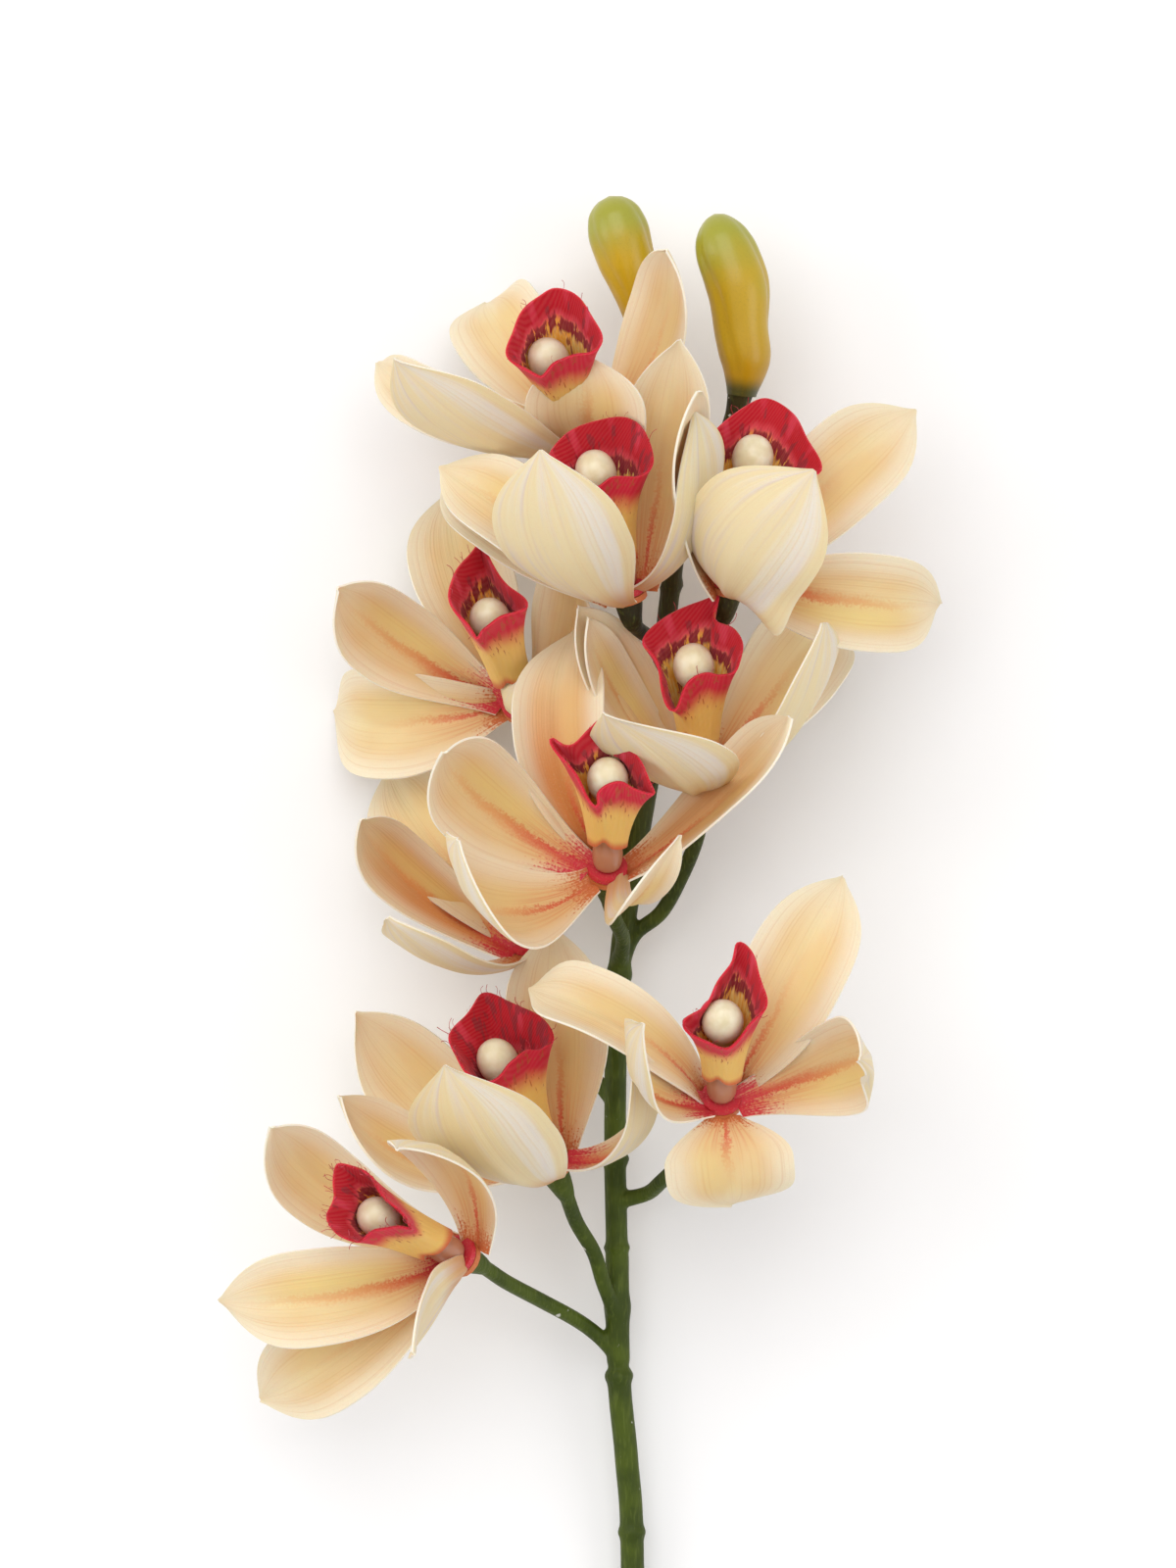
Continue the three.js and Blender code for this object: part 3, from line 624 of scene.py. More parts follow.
# Each lip: its rim, seen from above, as points from the flower's base that run from the near side
# round the left, over the top and back, then the near and the far height.
LIP_RIMS = [
    ([(-12, 16), (-17, 19), (-20.5, 23), (-18, 30.5), (-13, 36.5), (-8, 39), (-1, 35), (3, 27), (1, 22.5),
      (-4, 21.5), (-9, 20)], 36, 31),
    ([(-9, 27), (-16, 28), (-20, 35), (-16, 40.5), (-8, 44.5), (0, 45), (5, 41), (6, 34), (3, 30),
      (-4, 30)], 20, 13),
    ([(6, 28), (-3, 28), (-6, 37), (2, 44.5), (9, 48.5), (16, 44.5), (20, 38), (23, 30), (15, 28)], 19, 10),
    ([(-11.5, 17), (-15, 22), (-18.5, 28), (-17.5, 33), (-13.5, 38), (-10.5, 42), (-8, 36), (-3.5, 31),
      (1, 26), (-1.5, 23.5), (-6, 22), (-10, 19.5)], 43, 25),
    ([(-7, 18), (-10, 23), (-12, 31), (-14.5, 36), (-9, 42), (0, 45.5), (4.5, 47), (3.5, 41), (8, 38.5),
      (10.5, 34), (9, 28), (5, 27), (1, 27.5), (-3, 25)], 26, 19),
    ([(-3, 17.5), (-7, 23), (-11, 29), (-14.5, 34.5), (-9.5, 33), (-4, 37), (-1.5, 38.5), (5, 32), (9, 27),
      (12, 20.5), (7, 22), (3, 23.5), (-2, 21)], 31, 30),
    ([(-10, 22), (-15, 21), (-20, 29), (-17, 37), (-10, 41), (-4, 38), (-2, 31), (-5, 25)], 22, 16),
    ([(-13.5, 24), (-17, 23), (-23, 27), (-26.5, 34), (-22, 40), (-18, 45.5), (-12, 43.5), (-4, 40), (0, 34),
      (-3, 31), (-7, 31), (-11, 28)], 25, 11),
    ([(0, 14.5), (-6, 16.5), (-9.5, 21), (-4, 26), (1.5, 35), (4, 41), (8, 37), (10, 30), (10.5, 25),
      (7.5, 20.5), (3.5, 16.5)], 33, 29),
    ([(-26.5, 5), (-34, 11), (-32, 17), (-31.5, 25), (-24, 22), (-18, 15), (-12.5, 8.5), (-17, 9),
      (-22, 8.5)], 36, 31),
]


def smooth_curve(corners, fineness, spread):
    """Points on a smooth curve through all the corners but the first and the last, and how far along
    each is. spread turns the curve's length into the places of the points."""
    samples = []
    for i in range(1, len(corners) - 2):
        a, b, c, d = corners[i - 1:i + 3]
        t = np.linspace(0, 1, fineness, endpoint=False)[:, None]
        samples.append(0.5 * (2 * b + (c - a) * t + (2 * a - 5 * b + 4 * c - d) * t ** 2
                              + (3 * b - a - 3 * c + d) * t ** 3))
    fine = np.vstack(samples + [corners[-2:-1]])
    gone = np.concatenate([[0], np.cumsum(np.linalg.norm(np.diff(fine, axis=0), axis=1))])
    at = spread(gone[-1])
    return np.stack([np.interp(at, gone, fine[:, k]) for k in range(fine.shape[1])], 1), at


def lip_rim(number):
    """The rim of a lip as points from the flower's base."""
    outline, near, far = LIP_RIMS[number - 1]
    corners = np.array(outline, float)
    round_again = np.vstack([corners[-1:], corners, corners[:2]])
    flat, _ = smooth_curve(round_again, 24, lambda long: np.linspace(0, long, LIP_AROUND, endpoint=False))
    share = (flat[:, 1] - flat[:, 1].min()) / np.ptp(flat[:, 1])
    return np.column_stack([flat, near + (far - near) * share])


def clear_of_head(sheet, head, axis):
    """The sheet, pushed out where it would run through the column's head."""
    from_head = sheet - np.array(head, float)
    along_axis = (from_head @ axis)[..., None] * axis
    near_head = np.hypot(
        np.linalg.norm(along_axis, axis=2) / (HEAD_HALF_LENGTH + HEAD_ROOM),
        np.linalg.norm(from_head - along_axis, axis=2) / (HEAD_RADIUS + HEAD_ROOM),
    )
    return sheet + from_head * (1 / np.minimum(near_head, 1) - 1)[..., None]


def rolled_cloth(number):
    """The middle of the cloth from the flower's base, the way out of it, and the bearing of each line
    of it round the axis, 0 at the long lobe."""
    flower = FLOWERS[number - 1]
    axis, lip_side, cross = flower_axes(flower)
    rim = lip_rim(number)
    spread = rim - rim.mean(0)
    seen = np.unwrap(np.arctan2(spread @ cross, spread @ lip_side))
    even = np.linspace(0, 2 * np.pi, LIP_AROUND, endpoint=False) * np.sign(seen[-1] - seen[0])
    bearing = even + np.mean(seen - even)
    bearing = np.arctan2(np.sin(bearing), np.cos(bearing))
    near = (1 - np.cos(bearing)) / 2
    notch = np.exp(-(((np.pi - abs(bearing)) / LIP_NOTCH_WIDTH) ** 2))
    start = LIP_FAR_START + (LIP_NEAR_START - LIP_FAR_START) * near + LIP_NOTCH * notch
    outwards = np.outer(np.cos(bearing), lip_side) + np.outer(np.sin(bearing), cross)
    foot = np.outer(start, axis) + outwards * LIP_TUBE_RADIUS
    tall = (rim - foot) @ axis
    wide = np.maximum(np.einsum("ij,ij->i", rim - foot, outwards), 0)
    shoulder = foot + axis * (SHOULDER_HEIGHT * tall)[:, None] + outwards * (SHOULDER_REACH * wide)[:, None]
    v = np.linspace(0, 1, LIP_ALONG + 1)[:, None, None]
    sheet = foot * (1 - v) ** 2 + shoulder * 2 * v * (1 - v) + rim * v ** 2
    out = np.cross(np.gradient(sheet, axis=0), np.roll(sheet, -1, 1) - np.roll(sheet, 1, 1))
    out /= np.linalg.norm(out, axis=2, keepdims=True)
    if np.sum(out[LIP_ALONG // 2] * outwards) < 0:
        out = -out
    pleats = PLEAT_HEIGHT * np.sin(PLEATS * bearing)[None, :, None] * (1 - v) * v * 4
    ruffle = RUFFLE_HEIGHT * np.sin(RUFFLES * bearing + number)[None, :, None] * v ** 3
    return clear_of_head(sheet + out * (pleats + ruffle), flower["column"], axis), out, bearing


def lip_sheet(number):
    """The rolled sheet: points, faces and marks, where across is how far round, -1 to 1."""
    middle, out, bearing = rolled_cloth(number)
    points = both_faces(middle, -out, TWILL_THICKNESS) + np.array(FLOWERS[number - 1]["base"], float)
    count = (LIP_ALONG + 1) * LIP_AROUND
    index = np.arange(count).reshape(LIP_ALONG + 1, LIP_AROUND)
    index = np.column_stack([index, index[:, 0]])  # the roll closes
    quads = squares(index)
    foot, rim = index[0], index[-1]
    top = np.stack([rim[:-1], rim[1:], rim[1:] + count, rim[:-1] + count], -1)
    bottom = np.stack([foot[:-1], foot[:-1] + count, foot[1:] + count, foot[1:]], -1)
    faces = np.concatenate([quads, quads[:, ::-1] + count, top, bottom])
    a, b, c = (points[faces[:, k]] for k in range(3))
    if np.einsum("ij,ij->i", np.cross(a, b), c).sum() < 0:
        faces = faces[:, ::-1]
    return points, faces, sheet_marks(bearing / np.pi, np.linspace(0, 1, LIP_ALONG + 1))


def printed_twill(name, redder):
    """Cotton twill: matt, with fine slanting ribs. Crimson along the rim, an arch of maroon dashes,
    then golden yellow down into the tube. redder widens the crimson, as a share of the length."""
    made, tree, shader = new_material(name)
    place, _, along, inner = sheet_place(tree)
    mottled = streaks(tree, place, 9.0, 2.0, 2.2)
    spots = streaks(tree, place, 34.0, 7.0, 4.4, 2.0)
    wide_spots = streaks(tree, place, 16.0, 4.0, 9.1, 1.0)
    blots = streaks(tree, place, 20.0, 9.0, 6.6, 3.0)
    up = wandering(tree, along, mottled, 0.16)
    up_inside = add(tree, "ShaderNodeMath", {0: up, 1: redder}, operation="ADD").outputs[0]
    up_outside = add(tree, "ShaderNodeMath", {0: up, 1: 0.06}, operation="ADD").outputs[0]
    # the inner face: gold, a narrow paler red, then crimson to the rim
    gold = coat(tree, "#efb446", "#f6d787", (spots, 0.4, 0.65))
    body = coat(tree, gold, "#d34a56", (up_inside, 0.76, 0.86))
    crimson = coat(tree, "#b20e24", "#c43348", (mottled, 0.5, 0.68))
    body = coat(tree, body, crimson, (up_inside, 0.83, 0.92))
    # an arch of maroon blots with dashes round it, and a few dashes all over
    arch = overlap(tree, (up_inside, 0.72, 0.75), (up_inside, 0.85, 0.82), (blots, 0.42, 0.47))
    body = coat(tree, body, "#8a1f30", arch, 0.95)
    dashes = overlap(tree, (spots, 0.47, 0.52), (wide_spots, 0.38, 0.48))
    body = coat(tree, body, "#86222e", dashes, (up_inside, 0.68, 0.74), (up_inside, 0.88, 0.82))
    body = coat(tree, body, "#86222e", (wide_spots, 0.68 - redder, 0.72 - redder), dashes, 0.8)
    # the outer face: amber at the foot, then red with rust-brown flecks where it begins
    outside = coat(tree, "#eebb66", "#c81f3a", (up_outside, 0.5, 0.85))
    outside = coat(tree, outside, "#b04a30", (spots, 0.6, 0.64), (up_outside, 0.46, 0.56), 0.8)
    outside = coat(tree, outside, "#c9603a", (along, 0.12, 0.0))
    both = coat(tree, outside, body, (inner, 0.45, 0.55))
    # twill ribs 0.6 mm apart, drawn a little coarser than the thread so that they show
    spot = add(tree, "ShaderNodeTexCoord").outputs["Object"]
    slanted = add(tree, "ShaderNodeMapping", {"Vector": spot, "Rotation": (0.3, 0.4, 0.8)})
    ribs = add(tree, "ShaderNodeTexWave", {
        "Vector": slanted.outputs[0], "Scale": 520.0, "Distortion": 0.8, "Detail": 1.0, "Detail Scale": 2.0,
    }).outputs["Fac"]
    both = coat(tree, both, "#f2c9b0", ribs, 0.04)
    bump = add(tree, "ShaderNodeBump", {"Strength": 0.15, "Distance": 0.2 * MM, "Height": ribs})
    fill(tree, shader, {
        "Base Color": both,
        "Normal": bump.outputs[0],
        "Roughness": 0.85,
        "Specular IOR Level": 0.2,
        "Sheen Weight": 0.06,
        "Sheen Roughness": 0.5,
        "Subsurface Weight": 0.4,
        "Subsurface Radius": (1.0, 0.5, 0.25),
        "Subsurface Scale": 3 * MM,
    })
    return made


TWILL = printed_twill("printed_cotton_twill", 0.08)
TWILL_BROAD_RIM = printed_twill("printed_cotton_twill_broad_rim", 0.14)
TWILL_ALL_RED = printed_twill("printed_cotton_twill_red", 0.22)
OTHER_TWILLS = {2: TWILL_BROAD_RIM, 10: TWILL_BROAD_RIM, 8: TWILL_ALL_RED}

for number in FLOWER_NUMBERS:
    points, faces, marks = lip_sheet(number)
    piece = mesh_object(f"lip_sheet_{number}", points, faces, OTHER_TWILLS.get(number, TWILL))
    set_mark(piece, marks)
    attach(piece, "root")
    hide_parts(f"lip_{number}")

# ---- Frayed threads ----
# Loose ends of the twill's cotton thread along the lips' raw edges: hair-thin, red with pale ends,
# each curled its own way. Most stand on the two lips that are most worn.

THREAD_RADIUS = 0.1
THREAD_LENGTH = 4.0
THREAD_SEED = 7
SHORTEST_THREAD = 0.3  # of the length
THREAD_LEAN = 0.7  # radians either way
FRAYED = {10: 0.8, 8: 0.5}  # share of the places along a rim that have a thread
FRAYED_ELSEWHERE = 0.12


def cotton_thread():
    """Dyed cotton: quite matt, red with paler stretches."""
    made, tree, shader = new_material("dyed_cotton_thread")
    spot = add(tree, "ShaderNodeTexCoord").outputs["Object"]
    cloud = add(tree, "ShaderNodeTexNoise", {"Vector": spot, "Scale": 0.9 / MM}).outputs["Fac"]
    dyed = coat(tree, "#a8182c", "#c4505a", (cloud, 0.45, 0.6))
    fill(tree, shader, {
        "Base Color": dyed,
        "Roughness": 0.9,
    })
    return made


def thread_tree(material):
    """A node tree that stands one curled thread on some of the points, along their away direction."""
    tree = bpy.data.node_groups.new("frayed_threads", "GeometryNodeTree")
    tree.interface.new_socket("Points", in_out="INPUT", socket_type="NodeSocketGeometry")
    for name, kind in (("Radius", "Float"), ("Length", "Float"), ("Seed", "Int")):
        tree.interface.new_socket(name, in_out="INPUT", socket_type=f"NodeSocket{kind}")
    tree.interface.new_socket("Threads", in_out="OUTPUT", socket_type="NodeSocketGeometry")
    given = add(tree, "NodeGroupInput").outputs
    tall = add(tree, "ShaderNodeCombineXYZ", {"Z": given["Length"]}).outputs[0]
    aside = add(tree, "ShaderNodeVectorMath", {0: (0.4, 0.0, 0.6), 3: given["Length"]}, operation="SCALE")
    bend = add(tree, "GeometryNodeCurveQuadraticBezier", {
        "Resolution": 5, "Start": (0.0, 0.0, 0.0), "Middle": aside.outputs[0], "End": tall,
    })
    section = add(tree, "GeometryNodeCurvePrimitiveCircle", {"Resolution": 4, "Radius": given["Radius"]})
    thread = add(tree, "GeometryNodeCurveToMesh", {
        "Curve": bend.outputs[0], "Profile Curve": section.outputs[0], "Fill Caps": True,
    })
    fray = add(tree, "GeometryNodeInputNamedAttribute", {"Name": "fray"}, data_type="FLOAT")
    away = add(tree, "GeometryNodeInputNamedAttribute", {"Name": "away"}, data_type="FLOAT_VECTOR")
    seed = given["Seed"]
    chosen = add(tree, "FunctionNodeRandomValue", {6: fray.outputs[0], 8: seed}, data_type="BOOLEAN")
    upright = add(tree, "FunctionNodeAlignRotationToVector", {"Vector": away.outputs[0]}, axis="Z")
    lean = add(tree, "FunctionNodeRandomValue", {
        0: (-THREAD_LEAN, -THREAD_LEAN, 0.0), 1: (THREAD_LEAN, THREAD_LEAN, 6.3), 8: seed,
    }, data_type="FLOAT_VECTOR")
    turned = add(tree, "FunctionNodeRotateRotation", {
        "Rotation": upright.outputs[0],
        "Rotate By": add(tree, "FunctionNodeEulerToRotation", {"Euler": lean.outputs[0]}).outputs[0],
    }, rotation_space="LOCAL")
    size = add(tree, "FunctionNodeRandomValue", {2: SHORTEST_THREAD, 3: 1.0, 8: seed}, data_type="FLOAT")
    stood = add(tree, "GeometryNodeInstanceOnPoints", {
        "Points": given["Points"], "Selection": chosen.outputs[3], "Instance": thread.outputs[0],
        "Rotation": turned.outputs[0], "Scale": size.outputs[1],
    })
    real = add(tree, "GeometryNodeRealizeInstances", {"Geometry": stood.outputs[0]})
    dyed = add(tree, "GeometryNodeSetMaterial", {"Geometry": real.outputs[0], "Material": material})
    add(tree, "NodeGroupOutput", {0: dyed.outputs[0]})
    return tree


def make_plain(piece):
    """Turns what a piece's modifiers make of it into its own mesh."""
    bpy.context.view_layer.update()
    evaluated = piece.evaluated_get(bpy.context.evaluated_depsgraph_get())
    plain = bpy.data.meshes.new_from_object(evaluated)
    piece.modifiers.clear()
    piece.data = plain


rims, away, fray = [], [], []
for number in FLOWER_NUMBERS:
    points, _, _ = lip_sheet(number)
    layers = points.reshape(2, LIP_ALONG + 1, LIP_AROUND, 3).mean(0)
    rims.append(layers[-1])
    away.append(layers[-1] - layers[-2])
    fray.append(np.full(LIP_AROUND, FRAYED.get(number, FRAYED_ELSEWHERE)))
COTTON = cotton_thread()
threads = mesh_object("frayed_threads", np.vstack(rims), [], COTTON)
direction = threads.data.attributes.new("away", "FLOAT_VECTOR", "POINT")
direction.data.foreach_set("vector", np.vstack(away).ravel())
chance = threads.data.attributes.new("fray", "FLOAT", "POINT")
chance.data.foreach_set("value", np.concatenate(fray))
grown = threads.modifiers.new("grown", "NODES")
grown.node_group = thread_tree(COTTON)
given = {"Radius": THREAD_RADIUS * MM, "Length": THREAD_LENGTH * MM, "Seed": THREAD_SEED}
for socket in grown.node_group.interface.items_tree:
    if socket.name in given:
        grown[socket.identifier] = given[socket.name]
make_plain(threads)
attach(threads, "root")

# ---- Columns ----
# Injection-moulded ivory plastic, slightly see-through: a fleshy foot, a slim neck and an egg-shaped
# head, whose size stands with the lips, because the lips go round it.

COLUMN_START = HUB_THICKNESS + HUB_GAP + HUB_THICKNESS / 2 + HUB_GAP
FOOT_RADIUS = 3.9
FOOT_HALF_LENGTH = 4.2
NECK_RADIUS = 2.6
NECK_START = 9.5  # from the column's start
COLUMN_SIDES = 28


def column_profile(reach):
    """(radius, distance) pairs from the foot to the top of the head, whose middle is at reach."""
    profile = [(0, COLUMN_START), (NECK_RADIUS, COLUMN_START)]
    for degrees in range(-60, 76, 15):
        a = math.radians(degrees)
        profile.append((NECK_RADIUS + (FOOT_RADIUS - NECK_RADIUS) * math.cos(a) ** 0.8,
                        COLUMN_START + FOOT_HALF_LENGTH + FOOT_HALF_LENGTH * math.sin(a)))
    profile += [(NECK_RADIUS, COLUMN_START + NECK_START), (NECK_RADIUS, reach - HEAD_HALF_LENGTH)]
    for degrees in range(-50, 90, 10):
        a = math.radians(degrees)
        profile.append((HEAD_RADIUS * math.cos(a) ** 0.9, reach + HEAD_HALF_LENGTH * math.sin(a)))
    profile.append((0, reach + HEAD_HALF_LENGTH))
    return profile


def moulded_ivory():
    """Soft translucent plastic with a satin skin: ivory at the head, flesh-brown at the foot."""
    made, tree, shader = new_material("moulded_ivory_plastic")
    _, _, along, _ = sheet_place(tree)
    spot = add(tree, "ShaderNodeTexCoord").outputs["Object"]
    cloud = add(tree, "ShaderNodeTexNoise", {"Vector": spot, "Scale": 0.35 / MM, "Detail": 3.0}).outputs[0]
    head = coat(tree, "#dacda9", "#e6dcbf", (cloud, 0.3, 0.7))
    body = coat(tree, "#b67f62", head, (along, 0.3, 0.55))
    fine = add(tree, "ShaderNodeBump", {"Strength": 0.15, "Distance": 0.2 * MM, "Height": cloud})
    fill(tree, shader, {
        "Base Color": body,
        "Normal": fine.outputs[0],
        "Roughness": 0.28,
        "IOR": 1.49,
        "Subsurface Weight": 0.6,
        "Subsurface Radius": (1.0, 0.75, 0.55),
        "Subsurface Scale": 5 * MM,
    })
    return made


IVORY = moulded_ivory()

for number, flower in enumerate(FLOWERS, 1):
    axis, lip_side, _ = flower_axes(flower)
    base = np.array(flower["base"], float)
    profile = column_profile(float(np.linalg.norm(flower["column"])))
    points, faces = lathed(base, axis, lip_side, profile, COLUMN_SIDES)
    heights = (points - base) @ axis
    piece = mesh_object(f"column_body_{number}", points, faces, IVORY)
    set_mark(piece, np.column_stack([heights * 0, heights / heights.max(), heights * 0]))
    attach(piece, "root")
    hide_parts(f"column_{number}")

# ---- Stem, pedicels and bud stalks ----
# Green polyethylene moulded over wire in three lengths, pushed together at ringed joints. The
# pedicels are hot-glued on and wrapped, so every joint is a soft swelling. Each run is a list of
# points, and each swelling is (how far along in mm, how much wider, how long).

STEM_RUNS = [
    ([(11.5, -75, 3.5), (11.5, 0, 8), (10, 25, 10), (8, 47, 12), (7.5, 80, 15)], 3.1,
     [(81, 0.7, 1.2), (122, 0.8, 1.4), (124.5, -0.5, 0.8), (140, 0.5, 3)]),
    ([(7.5, 79, 15), (7, 110, 17), (8, 150, 20), (12, 180, 22), (18, 215, 25)], 2.9,
     [(0.5, 0.8, 1.2), (24, 0.9, 1.4), (26.5, -0.4, 0.8), (72, 0.6, 2)]),
    ([(18, 214, 25), (20.5, 244, 27), (25, 270, 30), (36, 290, 34), (39.6, 302, 36)], 2.6,
     [(1, 0.8, 1.2), (38, 0.7, 1.4), (60, 0.6, 2.5), (93, 0.9, 5)]),
]
PEDICEL_RUNS = [
    [(22, 256, 28), (16, 266, 28), (9, 275, 28)],
    [(19, 222, 26), (20, 229, 30), (17.5, 236, 38)],
    [(18, 212, 25), (26, 221, 28), (32, 233, 37)],
    [(11, 178, 22), (4, 190, 20), (-4, 200, 15), (-11, 208, 14)],
    [(8, 152, 20), (12, 161, 21), (19, 167, 24), (24.5, 177, 27), (28, 186, 31)],
    [(8, 153, 20), (9, 160, 29), (7, 165, 38)],
    [(7, 118, 17), (-4, 130, 12), (-11, 139, 12), (-12, 145, 17)],
    [(7.5, 62, 14), (4, 71, 20), (1.5, 79, 23), (-3, 87, 28)],
    [(7, 92, 16), (15, 94, 19), (19, 97.5, 27), (26, 105, 42)],
    [(8, 52, 12), (1.5, 58, 14), (-4, 62, 19), (-12.5, 67, 28), (-21, 72, 38)],
]
BUD_STALK = [(24, 266, 29), (18, 288, 28), (13, 306, 28), (12, 318, 28)]
PEDICEL_RADIUS = 2.0
CALYX_RADIUS = 3.8
CALYX_LENGTH = 8
STEM_SIDES = 16
STEM_STEP = 1.0
STALK_STEP = 0.8  # of pedicels, bud stalks and buds
CUT_END = 0.9  # of the stem's radius, where it was nipped off
FOOT_SWELLING = 0.5  # of the glue where a pedicel leaves the stem
FOOT_REACH = 4
NECK_SWELLING = 0.9  # of the stalk under a bud
NECK_REACH = 7
JOINT_VOXEL = 0.5  # blends the glued joints


def smooth_run(corners, step):
    """Evenly spaced points on a smooth curve through the corners, and how far along each is."""
    corners = np.asarray(corners, float)
    padded = np.vstack([2 * corners[0] - corners[1], corners, 2 * corners[-1] - corners[-2]])
    return smooth_curve(padded, 30, lambda long: np.linspace(0, long, max(4, int(long / step))))


def swept(line, radii, sides):
    """A closed round rod along the line."""
    way = np.gradient(line, axis=0)
    way /= np.linalg.norm(way, axis=1, keepdims=True)
    aside = unit(np.cross(way[0], (0.3, 0.2, 1.0)))
    rings = []
    for point, ahead, radius in zip(line, way, radii):
        aside = unit(aside - ahead * (aside @ ahead))
        third = np.cross(ahead, aside)
        angles = np.linspace(0, 2 * np.pi, sides, endpoint=False)
        rings.append(point + radius * (np.outer(np.cos(angles), aside) + np.outer(np.sin(angles), third)))
    points = np.vstack([line[:1], *rings, line[-1:]])
    faces = []
    last = len(points) - 1
    for i in range(sides):
        j = (i + 1) % sides
        faces.append((0, 1 + j, 1 + i))
        for k in range(len(line) - 1):
            a, b = 1 + k * sides, 1 + (k + 1) * sides
            faces.append((a + i, a + j, b + j, b + i))
        faces.append((last - sides + i, last - sides + j, last))
    return points, faces


def moulded_green():
    """Olive-green polyethylene: waxy and semi-matt, mottled, darker and browner towards the tip,
    with specks of dried white glue all over."""
    made, tree, shader = new_material("moulded_olive_polyethylene")
    spot = add(tree, "ShaderNodeTexCoord").outputs["Object"]
    up_stem = add(tree, "ShaderNodeSeparateXYZ", {"Vector": spot}).outputs["Y"]
    cloud = add(tree, "ShaderNodeTexNoise", {"Vector": spot, "Scale": 0.09 / MM, "Detail": 4.0}).outputs[0]
    green = coat(tree, "#36430a", "#48560f", (cloud, 0.35, 0.65))
    upper = coat(tree, "#29250f", "#3d3819", (cloud, 0.35, 0.65))
    body = coat(tree, green, upper, (up_stem, 0.0, 90 * MM))
    drawn = add(tree, "ShaderNodeMapping", {"Vector": spot, "Scale": (1.0, 0.12, 1.0)}).outputs[0]
    scratch = add(tree, "ShaderNodeTexNoise", {"Vector": drawn, "Scale": 1.4 / MM, "Detail": 2.0}).outputs[0]
    body = coat(tree, body, "#66732f", (scratch, 0.5, 0.75), 0.35)
    glue = add(tree, "ShaderNodeTexNoise", {"Vector": spot, "Scale": 0.26 / MM, "Detail": 5.0}).outputs[0]
    body = coat(tree, body, "#d9d6cc", (glue, 0.68, 0.72), 0.8)
    rough = add(tree, "ShaderNodeMath", {0: cloud, 1: 0.5, 2: scratch}, operation="MULTIPLY_ADD").outputs[0]
    bump = add(tree, "ShaderNodeBump", {"Strength": 0.5, "Distance": 0.5 * MM, "Height": rough})
    fill(tree, shader, {
        "Base Color": body,
        "Normal": bump.outputs[0],
        "Roughness": 0.5,
        "IOR": 1.51,
        "Specular IOR Level": 0.2,
    })
    return made


GREEN = moulded_green()

rods = []
for corners, radius, swellings in STEM_RUNS:
    line, gone = smooth_run(corners, STEM_STEP)
    radii = np.full(len(line), radius)
    for place, extra, long in swellings:
        radii = radii + extra * np.exp(-((gone - place) / long) ** 2)
    radii[0] *= CUT_END
    rods.append(swept(line, radii, STEM_SIDES))
for flower, corners in zip(FLOWERS, PEDICEL_RUNS):
    axis, _, _ = flower_axes(flower)
    top = np.array(flower["base"]) - axis * (HUB_THICKNESS / 2 + HUB_GAP)
    line, gone = smooth_run([*corners, top - axis * (CALYX_LENGTH - 1), top], STALK_STEP)
    left = gone[-1] - gone
    widen = np.clip(1 - left / CALYX_LENGTH, 0, 1) ** 0.8
    radii = PEDICEL_RADIUS + (CALYX_RADIUS - PEDICEL_RADIUS) * widen
    rods.append(swept(line, radii + FOOT_SWELLING * np.exp(-(gone / FOOT_REACH) ** 2), STEM_SIDES))
line, gone = smooth_run(BUD_STALK, STALK_STEP)
radii = PEDICEL_RADIUS + NECK_SWELLING * np.exp(-((gone - gone[-1]) / NECK_REACH) ** 2)
rods.append(swept(line, radii, STEM_SIDES))

points, faces = in_one(rods)
stem = mesh_object("stem_and_pedicels", points, faces, GREEN)
joined = stem.modifiers.new("joined", "REMESH")
joined.mode = "VOXEL"
joined.voxel_size = JOINT_VOXEL * MM
joined.use_smooth_shade = True
eased = stem.modifiers.new("eased", "SMOOTH")
eased.factor = 0.5
eased.iterations = 3
make_plain(stem)
stem.data.shade_smooth()
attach(stem, "root")
pedicels = [f"pedicel_{number}" for number in FLOWER_NUMBERS]
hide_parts("stem_lower", "stem_middle", "stem_upper", "bud_stalk", *pedicels)

# ---- Buds ----
# Two moulded buds, painted golden yellow running to green at the top. The three closed sepals show
# as shallow furrows that twist a little from the neck to the blunt top.

# Each bud: its centre line from its neck to its top, and its radius at even steps along it.
BUDS = [
    dict(
        line=[(12.3, 316.5, 28), (13, 321, 28), (11.3, 330, 29), (8.2, 341, 30), (5.5, 351.5, 30)],
        radii=(3.2, 5.2, 7.4, 8.1, 5.5),
    ),
    dict(
        line=[(39.5, 300, 36), (40.5, 309, 37), (39.4, 317.5, 38), (38.5, 328, 39), (34.7, 339, 39),
              (32.5, 346.5, 38)],
        radii=(3.6, 6.8, 7.2, 8.3, 8.0, 5.0),
    ),
]
BUD_SHOULDER = 0.86  # of the length, where the top begins to close
EASING = 5  # steps either way over which the radius is evened out
FURROW_DEPTH = 0.09  # of the radius
FURROW_WIDTH = 0.25
FURROW_TWIST = 0.9  # radians from the neck to the top
BUD_SIDES = 48


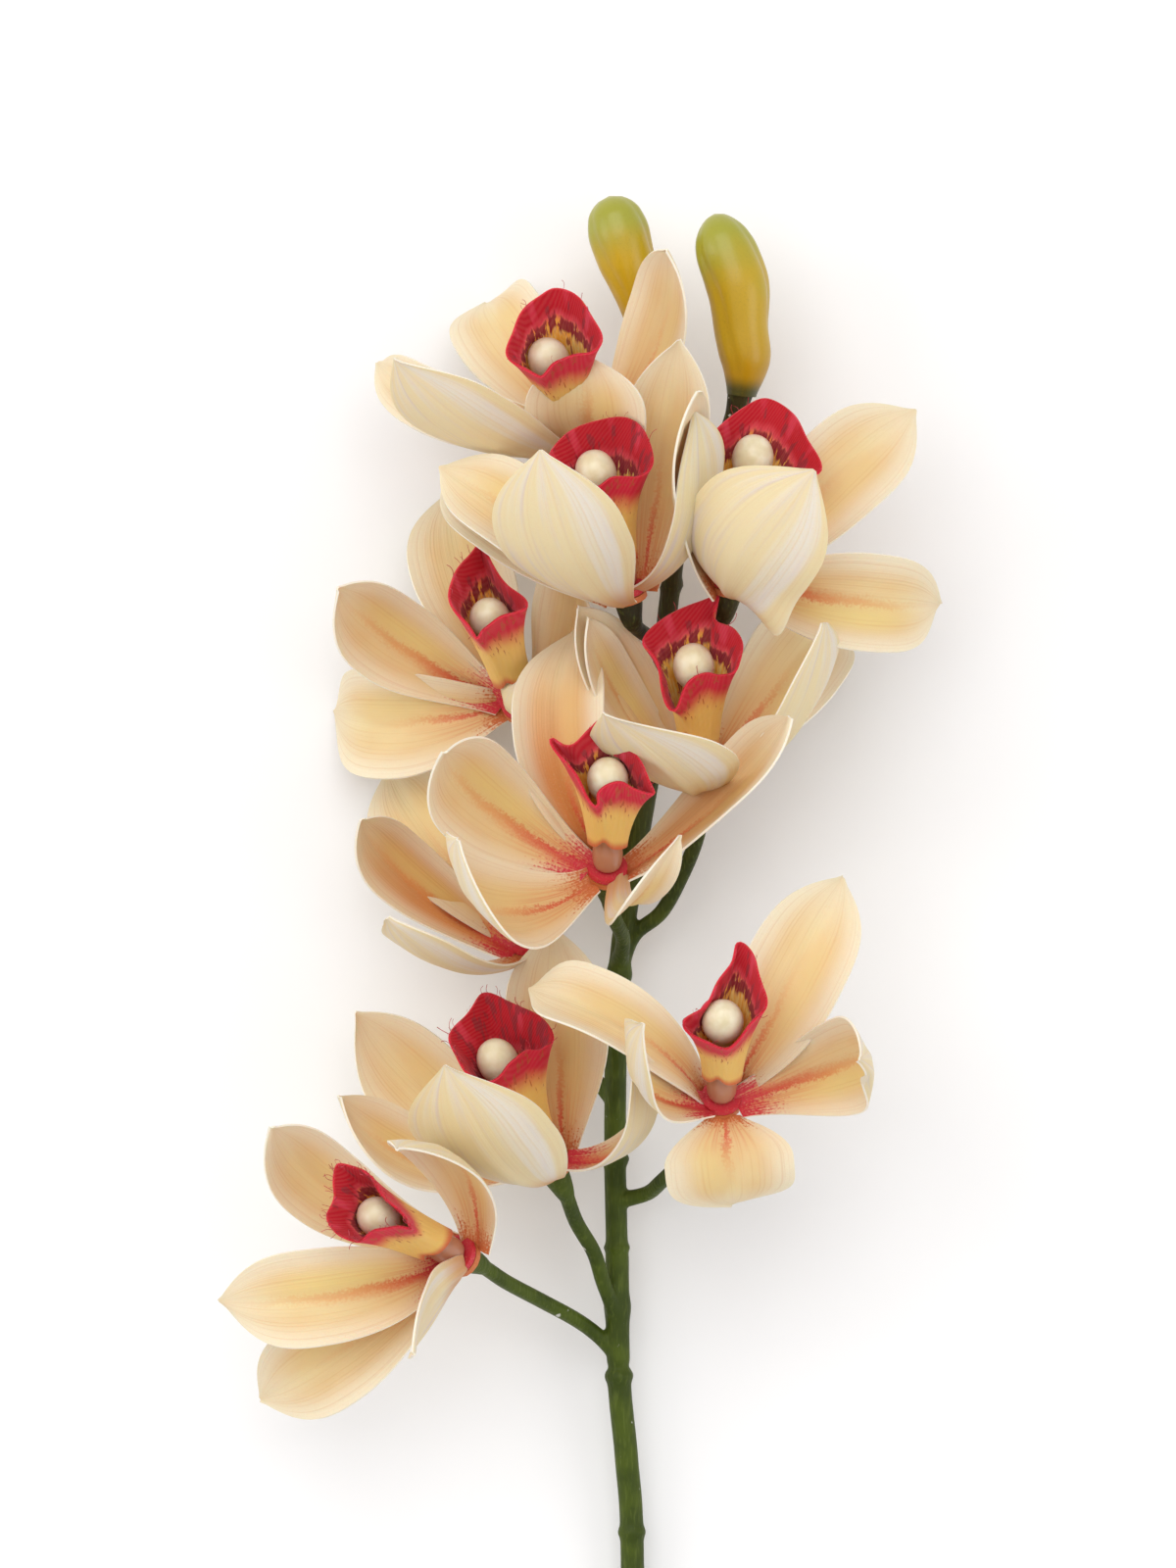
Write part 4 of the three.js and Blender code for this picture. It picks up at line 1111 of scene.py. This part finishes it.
def bud_skin(line, radii):
    """A bud's points, faces and marks."""
    line, gone = smooth_run(line, STALK_STEP)
    share = gone / gone[-1]
    size = np.interp(share, np.linspace(0, 1, len(radii)), radii)
    kernel = np.hanning(2 * EASING + 1)
    size = np.convolve(np.pad(size, EASING, "edge"), kernel / kernel.sum(), "valid")
    closing = np.clip((share - BUD_SHOULDER) / (1 - BUD_SHOULDER), 0, 1)
    size *= np.sqrt(np.clip(1 - closing ** 2, 0.002, 1))
    points, faces = swept(line, np.ones(len(line)), BUD_SIDES)
    body = points[1:-1].reshape(len(line), BUD_SIDES, 3) - line[:, None]
    angles = np.linspace(0, 2 * np.pi, BUD_SIDES, endpoint=False)[None, :]
    twisted = 3 * (angles + FURROW_TWIST * share[:, None]) / 2
    furrow = FURROW_DEPTH * np.exp(-(np.sin(twisted) / FURROW_WIDTH) ** 2)
    furrow = 1 - furrow * np.sin(np.pi * share[:, None]) ** 0.5
    points[1:-1] = (line[:, None] + body * (size[:, None] * furrow)[..., None]).reshape(-1, 3)
    marks = np.zeros((len(points), 3))
    marks[1:-1, 1] = np.repeat(share, BUD_SIDES)
    marks[-1, 1] = 1
    return points, faces, marks


def painted_bud():
    """Sprayed vinyl, satin: dark green at the neck, golden yellow above it, and green at the top."""
    made, tree, shader = new_material("sprayed_vinyl_bud")
    _, _, along, _ = sheet_place(tree)
    spot = add(tree, "ShaderNodeTexCoord").outputs["Object"]
    cloud = add(tree, "ShaderNodeTexNoise", {"Vector": spot, "Scale": 0.06 / MM, "Detail": 3.0}).outputs[0]
    up = wandering(tree, along, cloud, 0.5)
    body = coat(tree, "#b58a0e", "#bd9918", (up, 0.1, 0.5))
    body = coat(tree, body, "#9c9a30", (up, 0.5, 0.9))
    body = coat(tree, body, "#4a4a1c", (along, 0.12, 0.02))
    grain = add(tree, "ShaderNodeTexNoise", {"Vector": spot, "Scale": 1.5 / MM, "Detail": 2.0}).outputs[0]
    body = coat(tree, body, "#8f7d18", (grain, 0.5, 0.8), 0.2)
    bump = add(tree, "ShaderNodeBump", {"Strength": 0.2, "Distance": 0.2 * MM, "Height": grain})
    fill(tree, shader, {
        "Base Color": body,
        "Normal": bump.outputs[0],
        "Roughness": 0.3,
        "IOR": 1.5,
    })
    return made


BUD_PAINT = painted_bud()

for number, bud in enumerate(BUDS, 1):
    points, faces, marks = bud_skin(**bud)
    piece = mesh_object(f"bud_skin_{number}", points, faces, BUD_PAINT)
    set_mark(piece, marks)
    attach(piece, "root")
    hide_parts(f"bud_{number}")
